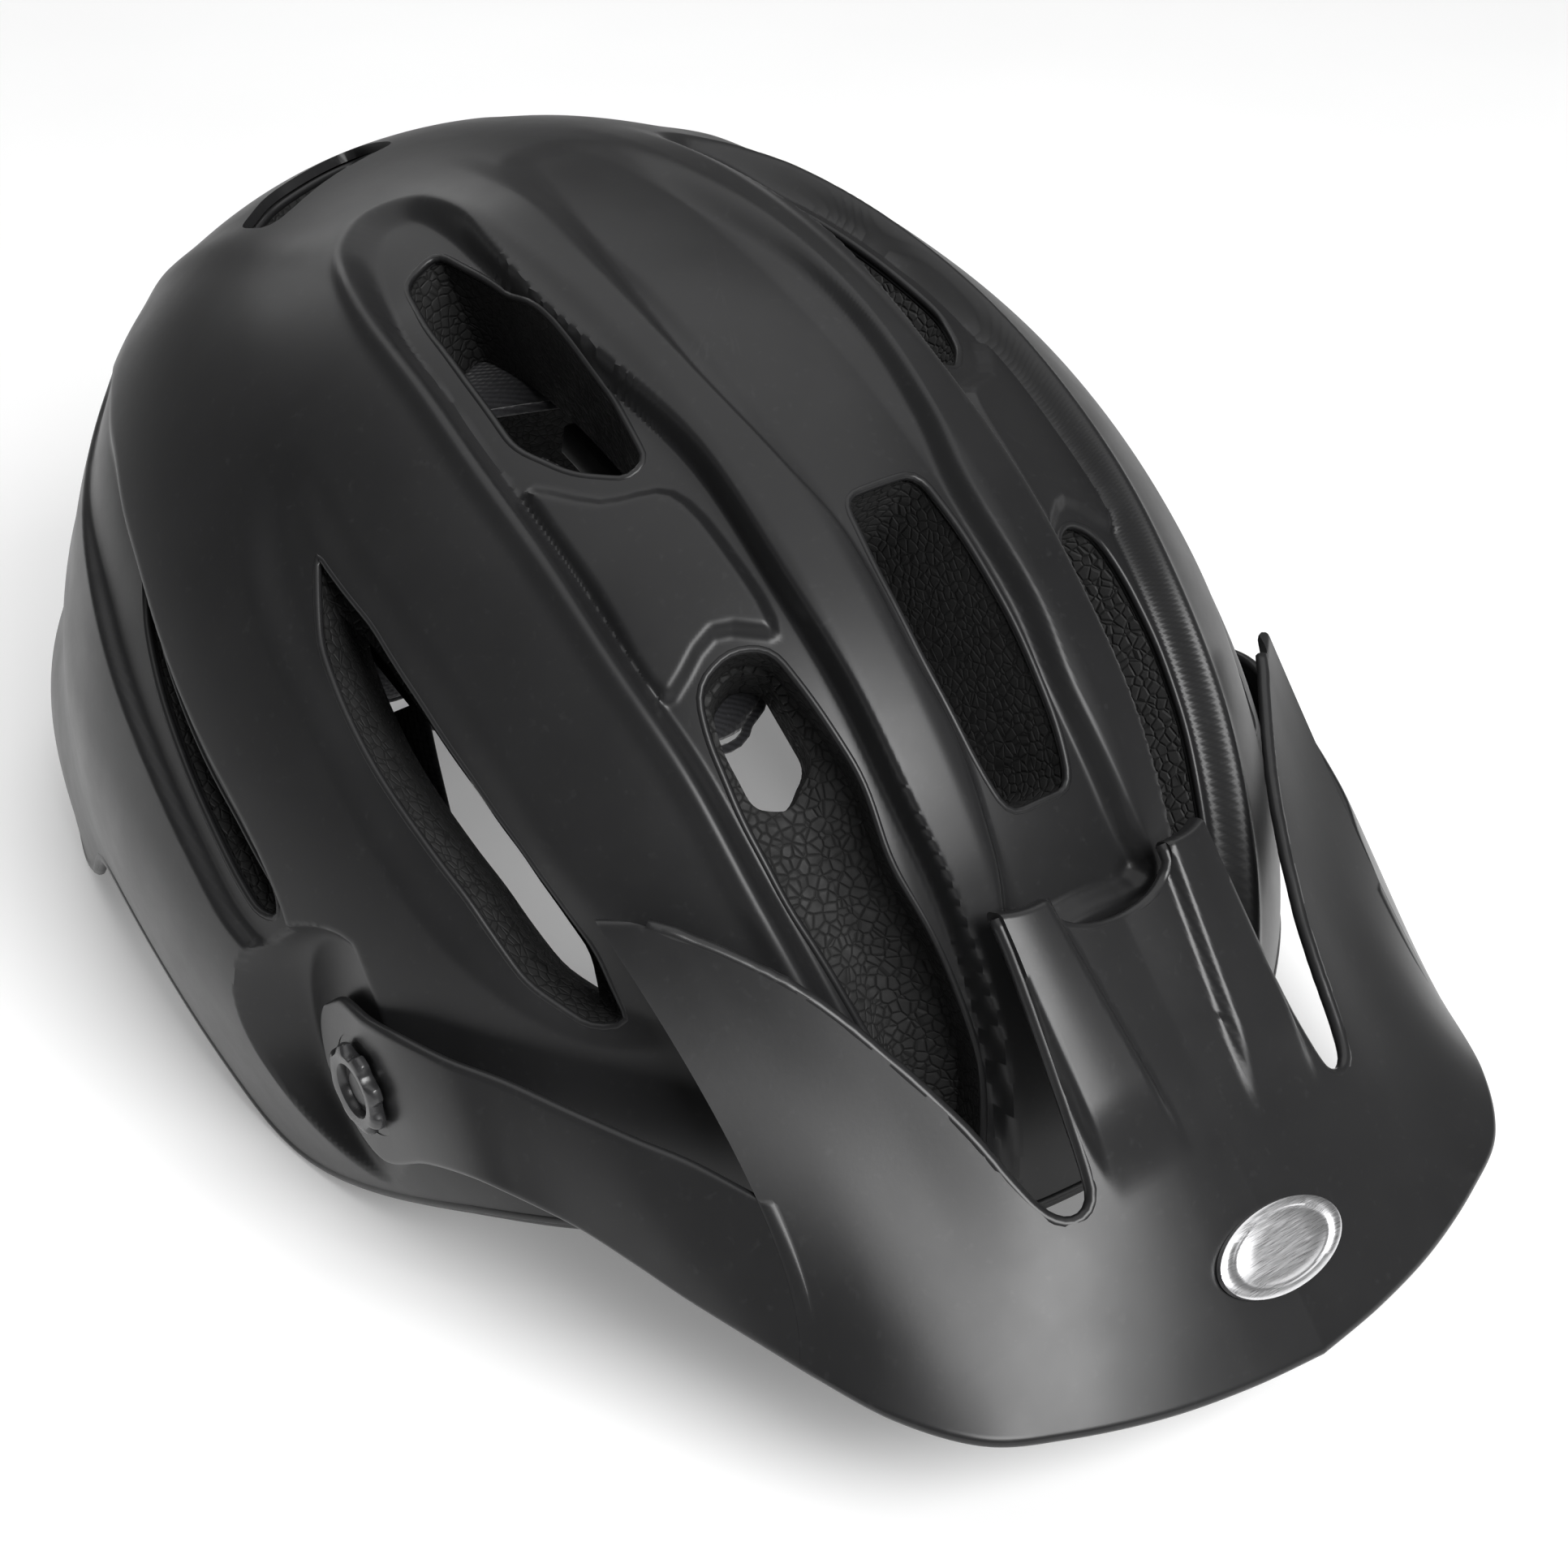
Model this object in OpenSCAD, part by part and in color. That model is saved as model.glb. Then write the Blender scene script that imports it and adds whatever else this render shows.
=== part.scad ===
// Trail cycling helmet with an adjustable visor.
// Millimetres. +Z is up, the wearer faces -Y, and the wearer's left is +X.
// The helmet stands on its temple rims and its two rear lobes at z = 0.
// Inside place() the shell has its own frame: the origin is the centre of the
// crown ellipsoid, before the helmet is tipped forward to stand.

/* [Shell] */
// Half width of the shell
half_w = 108; // [106:0.5:110]
// Half length of the shell, without the visor
half_l = 141; // [139:0.5:143]
// Rise of the crown above the middle of the shell
rise = 117.5; // [116:0.5:119]
// Thickness of the moulded skin
skin_t = 1.8; // [1.4:0.1:2.2]
// Depth of the lanes between the ridges
lane_depth = 5; // [3:0.5:5.5]
// Depth of the channel along the middle
channel_depth = 3.2; // [2:0.2:4]

/* [Head cavity] */
// Half width of the foam liner's inside
cav_w = 82; // [81:0.5:83]
// Half length of the foam liner's inside
cav_l = 112; // [111:0.5:113]
// Rise of the foam liner's inside
cav_h = 90; // [89:0.5:91]
// Thickness of the comfort pads
pad_t = 6; // [4:0.5:7]

/* [Visor] */
// Thickness of the visor moulding
visor_t = 2.2; // [1.8:0.1:2.4]
// Height of the two ribs on the bridge
rib_h = 1.8; // [1:0.2:2.2]
// Radius of the visor screw's shoulder
shoulder_r = 4; // [3.6:0.1:4.4]
// Radius of the visor screw's thread
thread_r = 2.5; // [2.2:0.1:2.8]

/* [Fit system] */
// Radius of the fit dial
dial_r = 12; // [11:0.5:12.5]
// Grip ribs around the fit dial
dial_ribs = 24; // [16:2:28]
// Teeth on the pinion
pinion_teeth = 12; // [12:1:12]
// Pitch radius of the pinion
pitch_r = 4.5; // [4.5:0.1:4.5]

/* [Straps] */
// Width of the strap webbing
web_w = 15; // [13:0.5:16]
// Thickness of the strap webbing
web_t = 1.4; // [1.2:0.1:1.6]

/* [Hidden] */

$fn = 48;
tip = 14;            // the helmet tips forward this much when it stands
shift_y = 22.3;      // brings the middle of the length to y = 0
stand_z = 34.3;      // height of the shell frame's origin above the table
deep = 190;          // how slowly the walls close in below the middle
na = 72;             // facets around the shell
nt = 15;             // facets from the crown to the rim
pivot = [-58, 23];   // y and z of the visor's pivot axis
flat_x = 93;         // the pivot seat is flat at this half width
hinge = [-36, -10];  // y and z of the head band's temple snaps
rack_y = 88;         // middle of the racks
dial_z = -40;        // height of the dial's axis

shell_c = [0.17, 0.17, 0.175];
foam_c = [0.09, 0.09, 0.09];
grey_c = [0.45, 0.45, 0.46];
black_c = [0.08, 0.08, 0.085];
pad_c = [0.12, 0.12, 0.13];

// Height of the rim against the angle from the front
RIM = [[-20, 30], [0, 34], [28, 26], [48, 6], [60, -15], [68, -26.5], [75, -28.8], [84, -21],
  [95, -15], [105, -11], [112, -16], [120, -41], [130, -54.5], [140, -58], [149, -58],
  [157, -50], [165, -31], [171, -24], [180, -23], [200, -24]];

// Vents, as outlines on the shell: plan outlines are x, y; side outlines y, z
VENT_MID = [[-8, -46], [8, -46], [10, -60], [10.5, -76], [9, -92], [6, -100], [-6, -100], [-9, -92], [-10.5, -76], [-10, -60]];
VENT_FRONT = [[31, -63], [38, -59], [44, -63], [45, -76], [43, -91], [40, -106], [36, -119], [32, -128], [25, -131], [22, -124], [23, -106], [25, -88], [28, -73]];
VENT_TOP = [[32, 38], [38, 37], [44, 25], [46, 8], [45, -10], [41, -25], [35, -31], [31, -26], [30.5, -10], [30.5, 10], [30.5, 28]];
VENT_REAR = [[11, 86], [28, 82], [43, 75], [43, 86], [32, 97], [11, 103]];
VENT_SIDE = [[4, 82], [-15, 83], [-30, 80], [-44, 76], [-58, 71], [-71, 66], [-82, 60], [-89, 53], [-82, 50], [-64, 57], [-49, 63], [-34, 69], [-20, 74], [-6, 79]];
VENT_SLIT = [[38, 58], [28, 58], [4, 54], [-14, 50], [-31, 43], [-31, 37], [-24, 36], [-13, 40], [7, 46], [29, 53]];
VENT_NAPE = [[16, 34], [40, 28], [52, 12], [50, 0], [30, 6], [16, 10]];

function sst(a, b, x) = let (t = min(1, max(0, (x - a) / (b - a)))) t * t * (3 - 2 * t);
function fold(az) = let (a = ((az % 360) + 360) % 360) a > 180 ? 360 - a : a;
function rim_z(az) = let (a = fold(az))
  (lookup(a - 5, RIM) + 2 * lookup(a - 2.5, RIM) + 3 * lookup(a, RIM) + 2 * lookup(a + 2.5, RIM) + lookup(a + 5, RIM)) / 9;

// Depth of the lanes, channel and ridges at a point of the crown ellipsoid
function relief(p) = let (ax = abs(p.x), y = p.y, top = sst(20, 55, p.z),
    li = 28 - 4 * sst(-60, -115, y), lo = 46 - 7 * sst(-60, -120, y))
  top * (-channel_depth * (1 - sst(9, 14, ax)) * sst(-108, -98, y) * (1 - sst(15, 50, y))
    + 0.9 * sst(10, 16, ax) * (1 - sst(li - 4, li, ax)) * sst(-125, -100, y) * (1 - sst(30, 70, y))
    - lane_depth * sst(li - 1.5, li + 3, ax) * (1 - sst(lo, lo + 6, ax)) * sst(-130, -118, y) * (1 - sst(40, 60, y)));

// A point of the crown ellipsoid's family: az from the front, tt from the crown.
// Below the height q the plan turns squarer towards the back
function plan_r(az, z, w, l, wn, q) = let (
    n = 2 + 0.8 * sst(q, -35, z) * sst(80, 118, fold(az)),
    ww = w * (1 - wn * sst(30, -40, z)))
  pow(pow(abs(sin(az)) / ww, n) + pow(abs(cos(az)) / l, n), -1 / n);
function skin(az, tt, w, l, h, wn, q) = let (
    z = tt <= 90 ? h * cos(tt) : -deep * sin(tt - 90),
    rho = tt <= 90 ? sin(tt) : cos(tt - 90),
    r = rho * plan_r(az, z, w, l, wn, q))
  [r * sin(az), -r * cos(az), z];
function away(p, w, l, h) = let (n = [p.x / (w * w), p.y / (l * l), p.z / (p.z > 0 ? h * h : deep * deep)]) n / norm(n);

// The outer surface, moved out by d, with its pivot seats
function seat(p, d) = let (r = norm([p.y - pivot[0], p.z - pivot[1]]),
    lim = flat_x + d + 30 * sst(24, 42, r))
  abs(p.x) > lim ? [sign(p.x) * lim, p.y, p.z] : p;
// The back of the crown is fuller above and leaner below than the ellipsoid
function full(az, z) = 1 + sst(100, 145, fold(az)) * (0.034 * sst(40, 62, z) * (1 - sst(88, 110, z)) - 0.017 * sst(-25, 0, z) * (1 - sst(28, 45, z)));
function outer(az, tt, d) = let (e = skin(az, tt, half_w, half_l, rise, 0.09, 12), k = full(az, e.z), p = [e.x * k, e.y * k, e.z])
  seat(p + away(p, half_w, half_l, rise) * (relief(p) + d), d);
function inner(az, tt, d) = skin(az, tt, cav_w - d, cav_l - d, cav_h - d, 0.02, 45);
function t_of(z, h) = z >= 0 ? acos(z / h) : 90 + asin(-z / deep);
function step_t(i, tr) = tr * pow(i / nt, 0.93);

// A dome with an inside: two fans of rows joined at the rim
module dome(po, pi, ro, ri) {
  pts = concat([po], [for (i = [0:nt - 1]) for (j = [0:na - 1]) ro[i][j]],
    [pi], [for (i = [0:nt - 1]) for (j = [0:na - 1]) ri[i][j]]);
  o = 1; q = 2 + na * nt; c = 1 + na * nt;
  fo = concat(
    [for (j = [0:na - 1]) [0, o + (j + 1) % na, o + j]],
    [for (i = [0:nt - 2]) for (j = [0:na - 1]) each [
      [o + i * na + j, o + i * na + (j + 1) % na, o + (i + 1) * na + j],
      [o + i * na + (j + 1) % na, o + (i + 1) * na + (j + 1) % na, o + (i + 1) * na + j]]]);
  fi = concat(
    [for (j = [0:na - 1]) [c, q + j, q + (j + 1) % na]],
    [for (i = [0:nt - 2]) for (j = [0:na - 1]) each [
      [q + i * na + j, q + (i + 1) * na + j, q + i * na + (j + 1) % na],
      [q + i * na + (j + 1) % na, q + (i + 1) * na + j, q + (i + 1) * na + (j + 1) % na]]]);
  e = (nt - 1) * na;
  fr = [for (j = [0:na - 1]) each [
      [o + e + j, o + e + (j + 1) % na, q + e + j],
      [o + e + (j + 1) % na, q + e + (j + 1) % na, q + e + j]]];
  polyhedron(pts, concat(fo, fi, fr), convexity = 8);
}

// Points on the ellipsoid for the vent outlines
function on_top(q) = [q[0], q[1], rise * sqrt(max(0, 1 - pow(q[0] / half_w, 2) - pow(q[1] / half_l, 2)))];
function on_side(q) = [half_w * sqrt(1 - pow(q[0] / half_l, 2) - pow(q[1] / rise, 2)), q[0], q[1]];
function on_rear(q) = [q[0], half_l * sqrt(1 - pow(q[0] / half_w, 2) - pow(q[1] / rise, 2)), q[1]];
// One pass of corner cutting
function soften(v) = [for (i = [0:len(v) - 1]) let (a = v[i], b = v[(i + 1) % len(v)]) each [a * 0.75 + b * 0.25, a * 0.25 + b * 0.75]];
function add(v, i = 0) = i < len(v) ? v[i] + add(v, i + 1) : 0;
function mid(v) = [for (k = [0:2]) add([for (p = v) p[k]]) / len(v)];
// Outlines are turned so that they run the same way round seen from outside
function turn(v) = let (c = mid(v), w = [for (i = [0:len(v) - 1]) cross(v[i] - c, v[(i + 1) % len(v)] - c) * c])
  add(w) < 0 ? v : [for (i = [len(v) - 1:-1:0]) v[i]];

// A cutter through the shell along the surface's own normals
module vent(outline) {
  pts = turn(outline);
  n = len(pts);
  up = [for (p = pts) p + 9 * away(p, half_w, half_l, rise)];
  dn = [for (p = pts) p - 40 * away(p, half_w, half_l, rise)];
  all = concat(up, dn, [mid(up)], [mid(dn)]);
  f = concat([for (i = [0:n - 1]) [2 * n, i, (i + 1) % n]],
    [for (i = [0:n - 1]) [2 * n + 1, n + (i + 1) % n, n + i]],
    [for (i = [0:n - 1]) each [[i, n + i, (i + 1) % n], [(i + 1) % n, n + i, n + (i + 1) % n]]]);
  polyhedron(all, f, convexity = 6);
}
module both() { children(); mirror([1, 0, 0]) children(); }
module vents() {
  vent([for (q = soften(VENT_MID)) on_top(q)]);
  both() {
    vent([for (q = soften(VENT_FRONT)) on_top(q)]);
    vent([for (q = soften(VENT_TOP)) on_top(q)]);
    vent([for (q = soften(VENT_REAR)) on_top(q)]);
    vent([for (q = soften(VENT_SIDE)) on_side(q)]);
    vent([for (q = soften(VENT_SLIT)) on_side(q)]);
    vent([for (q = soften(VENT_NAPE)) on_rear(q)]);
  }
}

// The helmet as it stands
module place() { translate([0, shift_y, stand_z]) rotate([tip, 0, 0]) children(); }
// Turns a piece drawn along +Z so that it lies along +X or -X
module sideways(s) { translate([0, pivot[0], pivot[1]]) rotate([0, 90 * s, 0]) children(); }

module outer_shell() color(shell_c) place() resize([0, 0, 0]) difference() {
  dome([0, 0, rise + relief([0, 0, rise])], [0, 0, rise + relief([0, 0, rise]) - skin_t],
    [for (i = [1:nt]) [for (j = [0:na - 1]) let (az = j * 360 / na) outer(az, step_t(i, t_of(rim_z(az), rise)), 0)]],
    [for (i = [1:nt]) [for (j = [0:na - 1]) let (az = j * 360 / na) outer(az, step_t(i, t_of(rim_z(az), rise)), -skin_t)]]);
  vents();
  both() sideways(1) cylinder(r = 6.4, h = 120, $fn = 24);
}
module eps_liner() color(foam_c) place() resize([0, 0, 0]) difference() {
  dome([0, 0, rise + relief([0, 0, rise]) - skin_t - 0.3], [0, 0, cav_h],
    [for (i = [1:nt]) [for (j = [0:na - 1]) let (az = j * 360 / na) outer(az, step_t(i, t_of(rim_z(az) + 2.6, rise)), -skin_t - 0.3)]],
    [for (i = [1:nt]) [for (j = [0:na - 1]) let (az = j * 360 / na) inner(az, step_t(i, t_of(rim_z(az) + 3 + 6 * sst(100, 140, fold(az)), cav_h)), 0)]]);
  vents();
  both() sideways(1) cylinder(r = 6.4, h = 120, $fn = 24);
  // Recesses and holes for the temple clips
  both() translate([0, hinge[0], hinge[1]]) rotate([0, 90, 0]) {
    translate([0, 0, 60]) cylinder(r = 10, h = 17, $fn = 32);
    cylinder(r = 2.7, h = 86, $fn = 24);
  }
}

// ---- Visor ----
// Half stations from the middle of the brim to the wing, then along the arm:
// lower edge, middle, upper edge
BRIM = [
  [[0, -182.5, 37], [0, -149, 57.5], [0, -113, 79]],
  [[14, -181, 37], [11, -149, 57.3], [10, -113, 79.5]],
  [[29, -178, 37], [22, -148, 56], [20, -112, 79.5]],
  [[44, -173, 37], [33, -144, 54.5], [34, -103, 79]],
  [[56, -167, 37], [46, -135, 53], [51, -94, 77]],
  [[65, -156, 36], [57, -128, 51.5], [64, -85, 74]],
  [[71, -142, 34], [67, -121, 50], [71, -79, 72]]];
ARM = [
  [[78, -124.5, 33], [76, -117, 42], [72, -111, 50]],
  [[82, -114, 33], [80, -108, 42], [77, -103, 49.5]],
  [[86, -104, 33], [84.5, -97, 41.5], [82, -93, 48]],
  [[90.5, -95, 32.5], [89, -87, 40], [87, -82, 46]],
  [[94, -87, 30.5], [93, -78.5, 37.5], [92, -72, 43.5]],
  [[95.8, -76, 22], [95.6, -69.5, 30.5], [95.4, -63, 41]],
  [[96.5, -65, 9.7], [96.5, -60.5, 23.5], [96.5, -56, 37.9]],
  [[96.5, -54, 8.5], [96.5, -51, 22.5], [96.5, -48.5, 34.7]],
  [[96.5, -46.5, 13.4], [96.5, -43.2, 22], [96.5, -44.6, 29.6]]];
nv = 8;
function quad(s, v) = let (m = 2 * s[1] - (s[0] + s[2]) / 2) s[0] * (1 - v) * (1 - v) + m * 2 * v * (1 - v) + s[2] * v * v;
function between(S, u) = let (i = min(len(S) - 2, floor(u)), f = u - i,
    a = S[max(0, i - 1)], b = S[i], c = S[i + 1], d = S[min(len(S) - 1, i + 2)])
  [for (k = [0:2]) b[k] + 0.5 * f * (c[k] - a[k] + f * (2 * a[k] - 5 * b[k] + 4 * c[k] - d[k] + f * (3 * (b[k] - c[k]) + d[k] - a[k])))];
function flip(p) = [-p.x, p.y, p.z];
// Two ribs run down the bridge and fade into the brim
function rib(p) = let (xi = 12 + (p.y + 115) * 0.13)
  rib_h * sst(xi - 1, xi + 1, abs(p.x)) * (1 - sst(21, 24, abs(p.x))) * sst(-152, -138, p.y);
module sheet(G, t, ribs, sink = 0) {
  nu = len(G) - 1; m = nv + 1; n = (nu + 1) * m;
  N = [for (i = [0:nu]) [for (j = [0:nv]) let (
      du = G[min(nu, i + 1)][j] - G[max(0, i - 1)][j],
      dv = G[i][min(nv, j + 1)] - G[i][max(0, j - 1)], c = cross(dv, du)) c / norm(c)]];
  top = [for (i = [0:nu]) for (j = [0:nv]) G[i][j] + N[i][j] * (ribs ? rib(G[i][j]) : -sink)];
  bot = [for (i = [0:nu]) for (j = [0:nv]) G[i][j] - N[i][j] * (t - sink)];
  f = concat(
    [for (i = [0:nu - 1]) for (j = [0:nv - 1]) let (a = i * m + j, b = a + m) each [[a, b, a + 1], [b, b + 1, a + 1]]],
    [for (i = [0:nu - 1]) for (j = [0:nv - 1]) let (a = n + i * m + j, b = a + m) each [[a, a + 1, b], [b, a + 1, b + 1]]],
    [for (i = [0:nu - 1]) let (a = i * m, b = a + m) each [[a, n + a, b], [b, n + a, n + b]]],
    [for (i = [0:nu - 1]) let (a = i * m + nv, b = a + m) each [[a, b, n + a], [b, n + b, n + a]]],
    [for (j = [0:nv - 1]) each [[j, j + 1, n + j], [j + 1, n + j + 1, n + j]]],
    [for (j = [0:nv - 1]) let (a = nu * m + j) each [[a, n + a, a + 1], [a + 1, n + a, n + a + 1]]]);
  polyhedron(concat(top, bot), f, convexity = 6);
}
function rows(S, k, s) = [for (i = [0:k * (len(S) - 1)]) let (st = [for (e = [0:2]) between([for (q = S) q[e]], i / k)])
  [for (j = [0:nv]) let (p = quad(st, j / nv)) s > 0 ? p : flip(p)]];
// The arm springs from the lower half of the wing's last stations
function root(u) = let (st = [for (e = [0:2]) between([for (q = BRIM) q[e]], u)]) [quad(st, 0), quad(st, 0.25), quad(st, 0.5)];
function arm_rows(s) = rows(concat([root(5.7), root(6)], ARM), 2, s);
function rev(v) = [for (i = [len(v) - 1:-1:0]) v[i]];
module visor_mesh() difference() {
  union() {
    sheet(concat(rev(rows(BRIM, 3, 1)), [for (i = [1:18]) rows(BRIM, 3, -1)[i]]), visor_t, true);
    sheet(rev(arm_rows(1)), visor_t, false, 0.06);
    sheet(arm_rows(-1), visor_t, false, 0.06);
  }
  // The two openings between the bridge and the wings
  both() translate([0, 0, 20]) linear_extrude(90)
    polygon([[21, -90], [21, -120], [23.5, -147], [26, -151], [31, -150], [34, -145], [37.5, -131], [43, -118], [49, -106], [57, -95], [66, -84], [74, -72], [60, -60]]);
  // The rear edge of the bridge between the ribs
  translate([0, 0, 50]) linear_extrude(60) polygon([[-12.5, -100], [12.5, -100], [12.5, -117], [6, -120], [-6, -120], [-12.5, -117]]);
}
module visor() color(shell_c) place() difference() {
  resize([0, 0, 0]) visor_mesh();
  both() sideways(1) cylinder(r = shoulder_r + 0.05, h = 120);
  // Flat faces around the pivots
  both() sideways(1) translate([0, 0, 80]) cylinder(r = 16, h = 14.45);
  both() sideways(1) translate([0, 0, 96.3]) cylinder(r = 9, h = 4);
}
module visor_badge() color([0.75, 0.75, 0.76]) place()
  translate([0, -167.6, 46.6]) rotate([31.5, 0, 0]) scale([1.9, 1, 1]) cylinder(r = 6.6, h = 0.9);

module screw(s) color(black_c) place() sideways(s) difference() {
  union() {
    translate([0, 0, 96.8]) cylinder(r1 = 8, r2 = 6.8, h = 2.6);
    translate([0, 0, 94.2]) cylinder(r = shoulder_r, h = 2.8);
    translate([0, 0, 82]) cylinder(r = thread_r - 0.05, h = 12.4);
  }
  translate([-5, -0.9, 98.2]) cube([10, 1.8, 3]);
}
module visor_screw_right() screw(-1);
module visor_screw_left() screw(1);
module washer(s) color(black_c) place() sideways(s) difference() {
  translate([0, 0, flat_x + 0.4]) cylinder(r = 10, h = 0.7);
  translate([0, 0, flat_x - 1]) cylinder(r = thread_r + 0.2, h = 4);
}
module visor_washer_right() washer(-1);
module visor_washer_left() washer(1);
module insert(s) color([0.7, 0.6, 0.35]) place() sideways(s) difference() {
  union() {
    translate([0, 0, 81]) cylinder(r = 6, h = 11.9);
    translate([0, 0, 80]) cylinder(r = 5, h = 1.5);
  }
  translate([0, 0, 81.5]) cylinder(r = thread_r, h = 20);
}
module visor_insert_right() insert(-1);
module visor_insert_left() insert(1);

// ---- Fit system ----
// A flat ribbon through points, standing on edge or lying flat: out gives the thickness direction
module ribbon(P, O, w, t) {
  n = len(P);
  T = [for (i = [0:n - 1]) let (d = P[min(n - 1, i + 1)] - P[max(0, i - 1)]) d / norm(d)];
  pts = [for (i = [0:n - 1]) let (o0 = O[i] - T[i] * (O[i] * T[i]), o = o0 / norm(o0), s = cross(T[i], o))
    each [P[i] + s * w / 2, P[i] + s * w / 2 + o * t, P[i] - s * w / 2 + o * t, P[i] - s * w / 2]];
  f = concat([[3, 2, 1, 0]], [[4 * n - 4, 4 * n - 3, 4 * n - 2, 4 * n - 1]],
    [for (i = [0:n - 2]) for (k = [0:3]) let (a = 4 * i + k, b = 4 * i + (k + 1) % 4) each [[a, b, a + 4], [b, b + 4, a + 4]]]);
  polyhedron(pts, f, convexity = 4);
}
function curve(S, k) = [for (i = [0:k * (len(S) - 1)]) between(S, i / k)];
function mul(v, s) = [for (p = v) [p.x * s, p.y, p.z]];
function out_dir(v) = [for (p = v) [p.x / pow(cav_w, 2), p.y / pow(cav_l, 2), max(0, p.z) / pow(cav_h, 2)] * 3000];

// From the temple snap, back over the ear and round to the rack
BAND = [[74.8, -30, -11], [76, -12, -15], [76, 8, -21], [73.5, 30, -28], [68, 50, -34], [59, 68, -38.5], [51, 78.5, -40], [44, 84, -40]];
module temple_clip(s) color(black_c) place() {
  translate([0, hinge[0], hinge[1]]) rotate([0, 90 * s, 0]) {
    translate([0, 0, 73]) cylinder(r = 5, h = 1.6);
    translate([0, 0, 74]) cylinder(r = 2.5, h = 10);
  }
}
module temple_clip_right() temple_clip(-1);
module temple_clip_left() temple_clip(1);
module fit_band(s) color(grey_c) place() union() {
  ribbon(mul(curve(BAND, 3), s), out_dir(mul(curve(BAND, 3), s)), 11, 1.6);
  translate([0, hinge[0], hinge[1]]) rotate([0, 90 * s, 0]) difference() {
    translate([0, 0, 74.8]) cylinder(r = 8, h = 1.6);
    translate([0, 0, 70]) cylinder(r = 2.55, h = 12);
  }
}
module fit_band_right() fit_band(-1);
module fit_band_left() fit_band(1);

rack_pitch = 2 * PI * pitch_r / pinion_teeth;
module rack(s) color(black_c) place() translate([0, rack_y - 0.9, dial_z]) {
  // the tail lies beside the band's end; the teeth face the pinion
  translate([s > 0 ? -13 : -41, 0, s > 0 ? 5.3 : -8.6]) cube([54, 1.6, 3.3]);
  translate([s > 0 ? 35 : -42, 0, s > 0 ? -3.9 : -8.6]) cube([7, 1.6, 12.5]);
  for (i = [-5:8]) translate([s * (i * rack_pitch + rack_pitch / 2) - 0.35, 0, s > 0 ? 4.2 : -5.4]) cube([0.7, 1.6, 1.2]);
}
module fit_rack_right() rack(-1);
module fit_rack_left() rack(1);
module dial_pinion() color([0.8, 0.8, 0.78]) place() translate([0, rack_y, dial_z]) rotate([-90, 0, 0]) {
  translate([0, 0, -0.9]) cylinder(r = 3.7, h = 1.6);
  for (i = [0:pinion_teeth - 1]) rotate([0, 0, i * 360 / pinion_teeth]) translate([-0.35, 3.4, -0.9]) cube([0.7, 1.5, 1.6]);
  translate([0, 0, -3]) cylinder(r = 1.8, h = 9.5);
}
module cradle() color(grey_c) place() translate([0, 0, dial_z]) difference() {
  union() {
    hull() for (s = [-1, 1]) translate([s * 24, rack_y - 4, 0]) rotate([-90, 0, 0]) cylinder(r = 13, h = 2.4);
    for (s = [-1, 1]) hull() {
      translate([s * 26, rack_y - 4, -1]) rotate([-90, 0, 0]) cylinder(r = 9, h = 2.4);
      translate([s * 50, rack_y - 14, -3]) rotate([-90, 0, 0]) cylinder(r = 7, h = 2.4);
    }
    for (z = [-11.3, 9.3]) translate([-30, rack_y - 1.7, z]) cube([60, 3.2, 2]);
  }
  translate([0, rack_y - 6, 0]) rotate([-90, 0, 0]) cylinder(r = 1.85, h = 5);
}
module lobe(s) color(black_c) place() translate([s * 48, rack_y - 17, dial_z - 2]) rotate([0, 0, s * -24]) rotate([-90, 0, 0]) difference() {
  translate([0, 0, -4]) cylinder(r = 9, h = 3.4);
  translate([0, 0, -5]) cylinder(r = 6, h = 2);
}
module cradle_lobe_right() lobe(-1);
module cradle_lobe_left() lobe(1);
module dial_cover() color(grey_c) place() translate([0, rack_y + 1.7, dial_z]) difference() {
  hull() for (s = [-1, 1]) translate([s * 20, 0, 0]) rotate([-90, 0, 0]) cylinder(r = 11.6, h = 1.8);
  translate([0, -1, 0]) rotate([-90, 0, 0]) cylinder(r = 1.85, h = 5);
}
module fit_dial() color(black_c) place() translate([0, rack_y + 4, dial_z]) rotate([-90, 0, 0]) difference() {
  union() {
    cylinder(r = dial_r - 1, h = 7);
    cylinder(r = dial_r, h = 1.2);
    for (i = [0:dial_ribs - 1]) rotate([0, 0, i * 360 / dial_ribs]) translate([dial_r - 1.6, -0.7, 0]) cube([1.5, 1.4, 7]);
  }
  translate([0, 0, 5.4]) cylinder(r = dial_r - 3.4, h = 3);
  translate([0, 0, -1]) cylinder(r = 1.83, h = 4);
}
// The hanger is an arc about the temple snaps, so it slides in its anchor
hang_r = 141;
module height_hanger() color(grey_c) place() {
  translate([0, hinge[0], hinge[1]]) rotate([0, 90, 0]) rotate([0, 0, 90 - 6]) rotate_extrude(angle = 20) translate([hang_r, -6]) square([1.6, 12]);
  translate([-6, rack_y - 1.2, dial_z + 13.3]) cube([12, 17.6, 2]);
  translate([-6, rack_y - 3.9, dial_z + 11.2]) cube([12, 2.8, 4.1]);
}
module hanger_anchor() color(black_c) place() translate([0, hinge[0], hinge[1]]) difference() {
  rotate([0, 90, 0]) rotate([0, 0, 90 + 4]) rotate_extrude(angle = 6) translate([hang_r - 2.2, -9]) square([6, 18]);
  rotate([0, 90, 0]) rotate([0, 0, 90 + 2]) rotate_extrude(angle = 10) translate([hang_r - 0.5, -6.5]) square([2.6, 13]);
}

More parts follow.
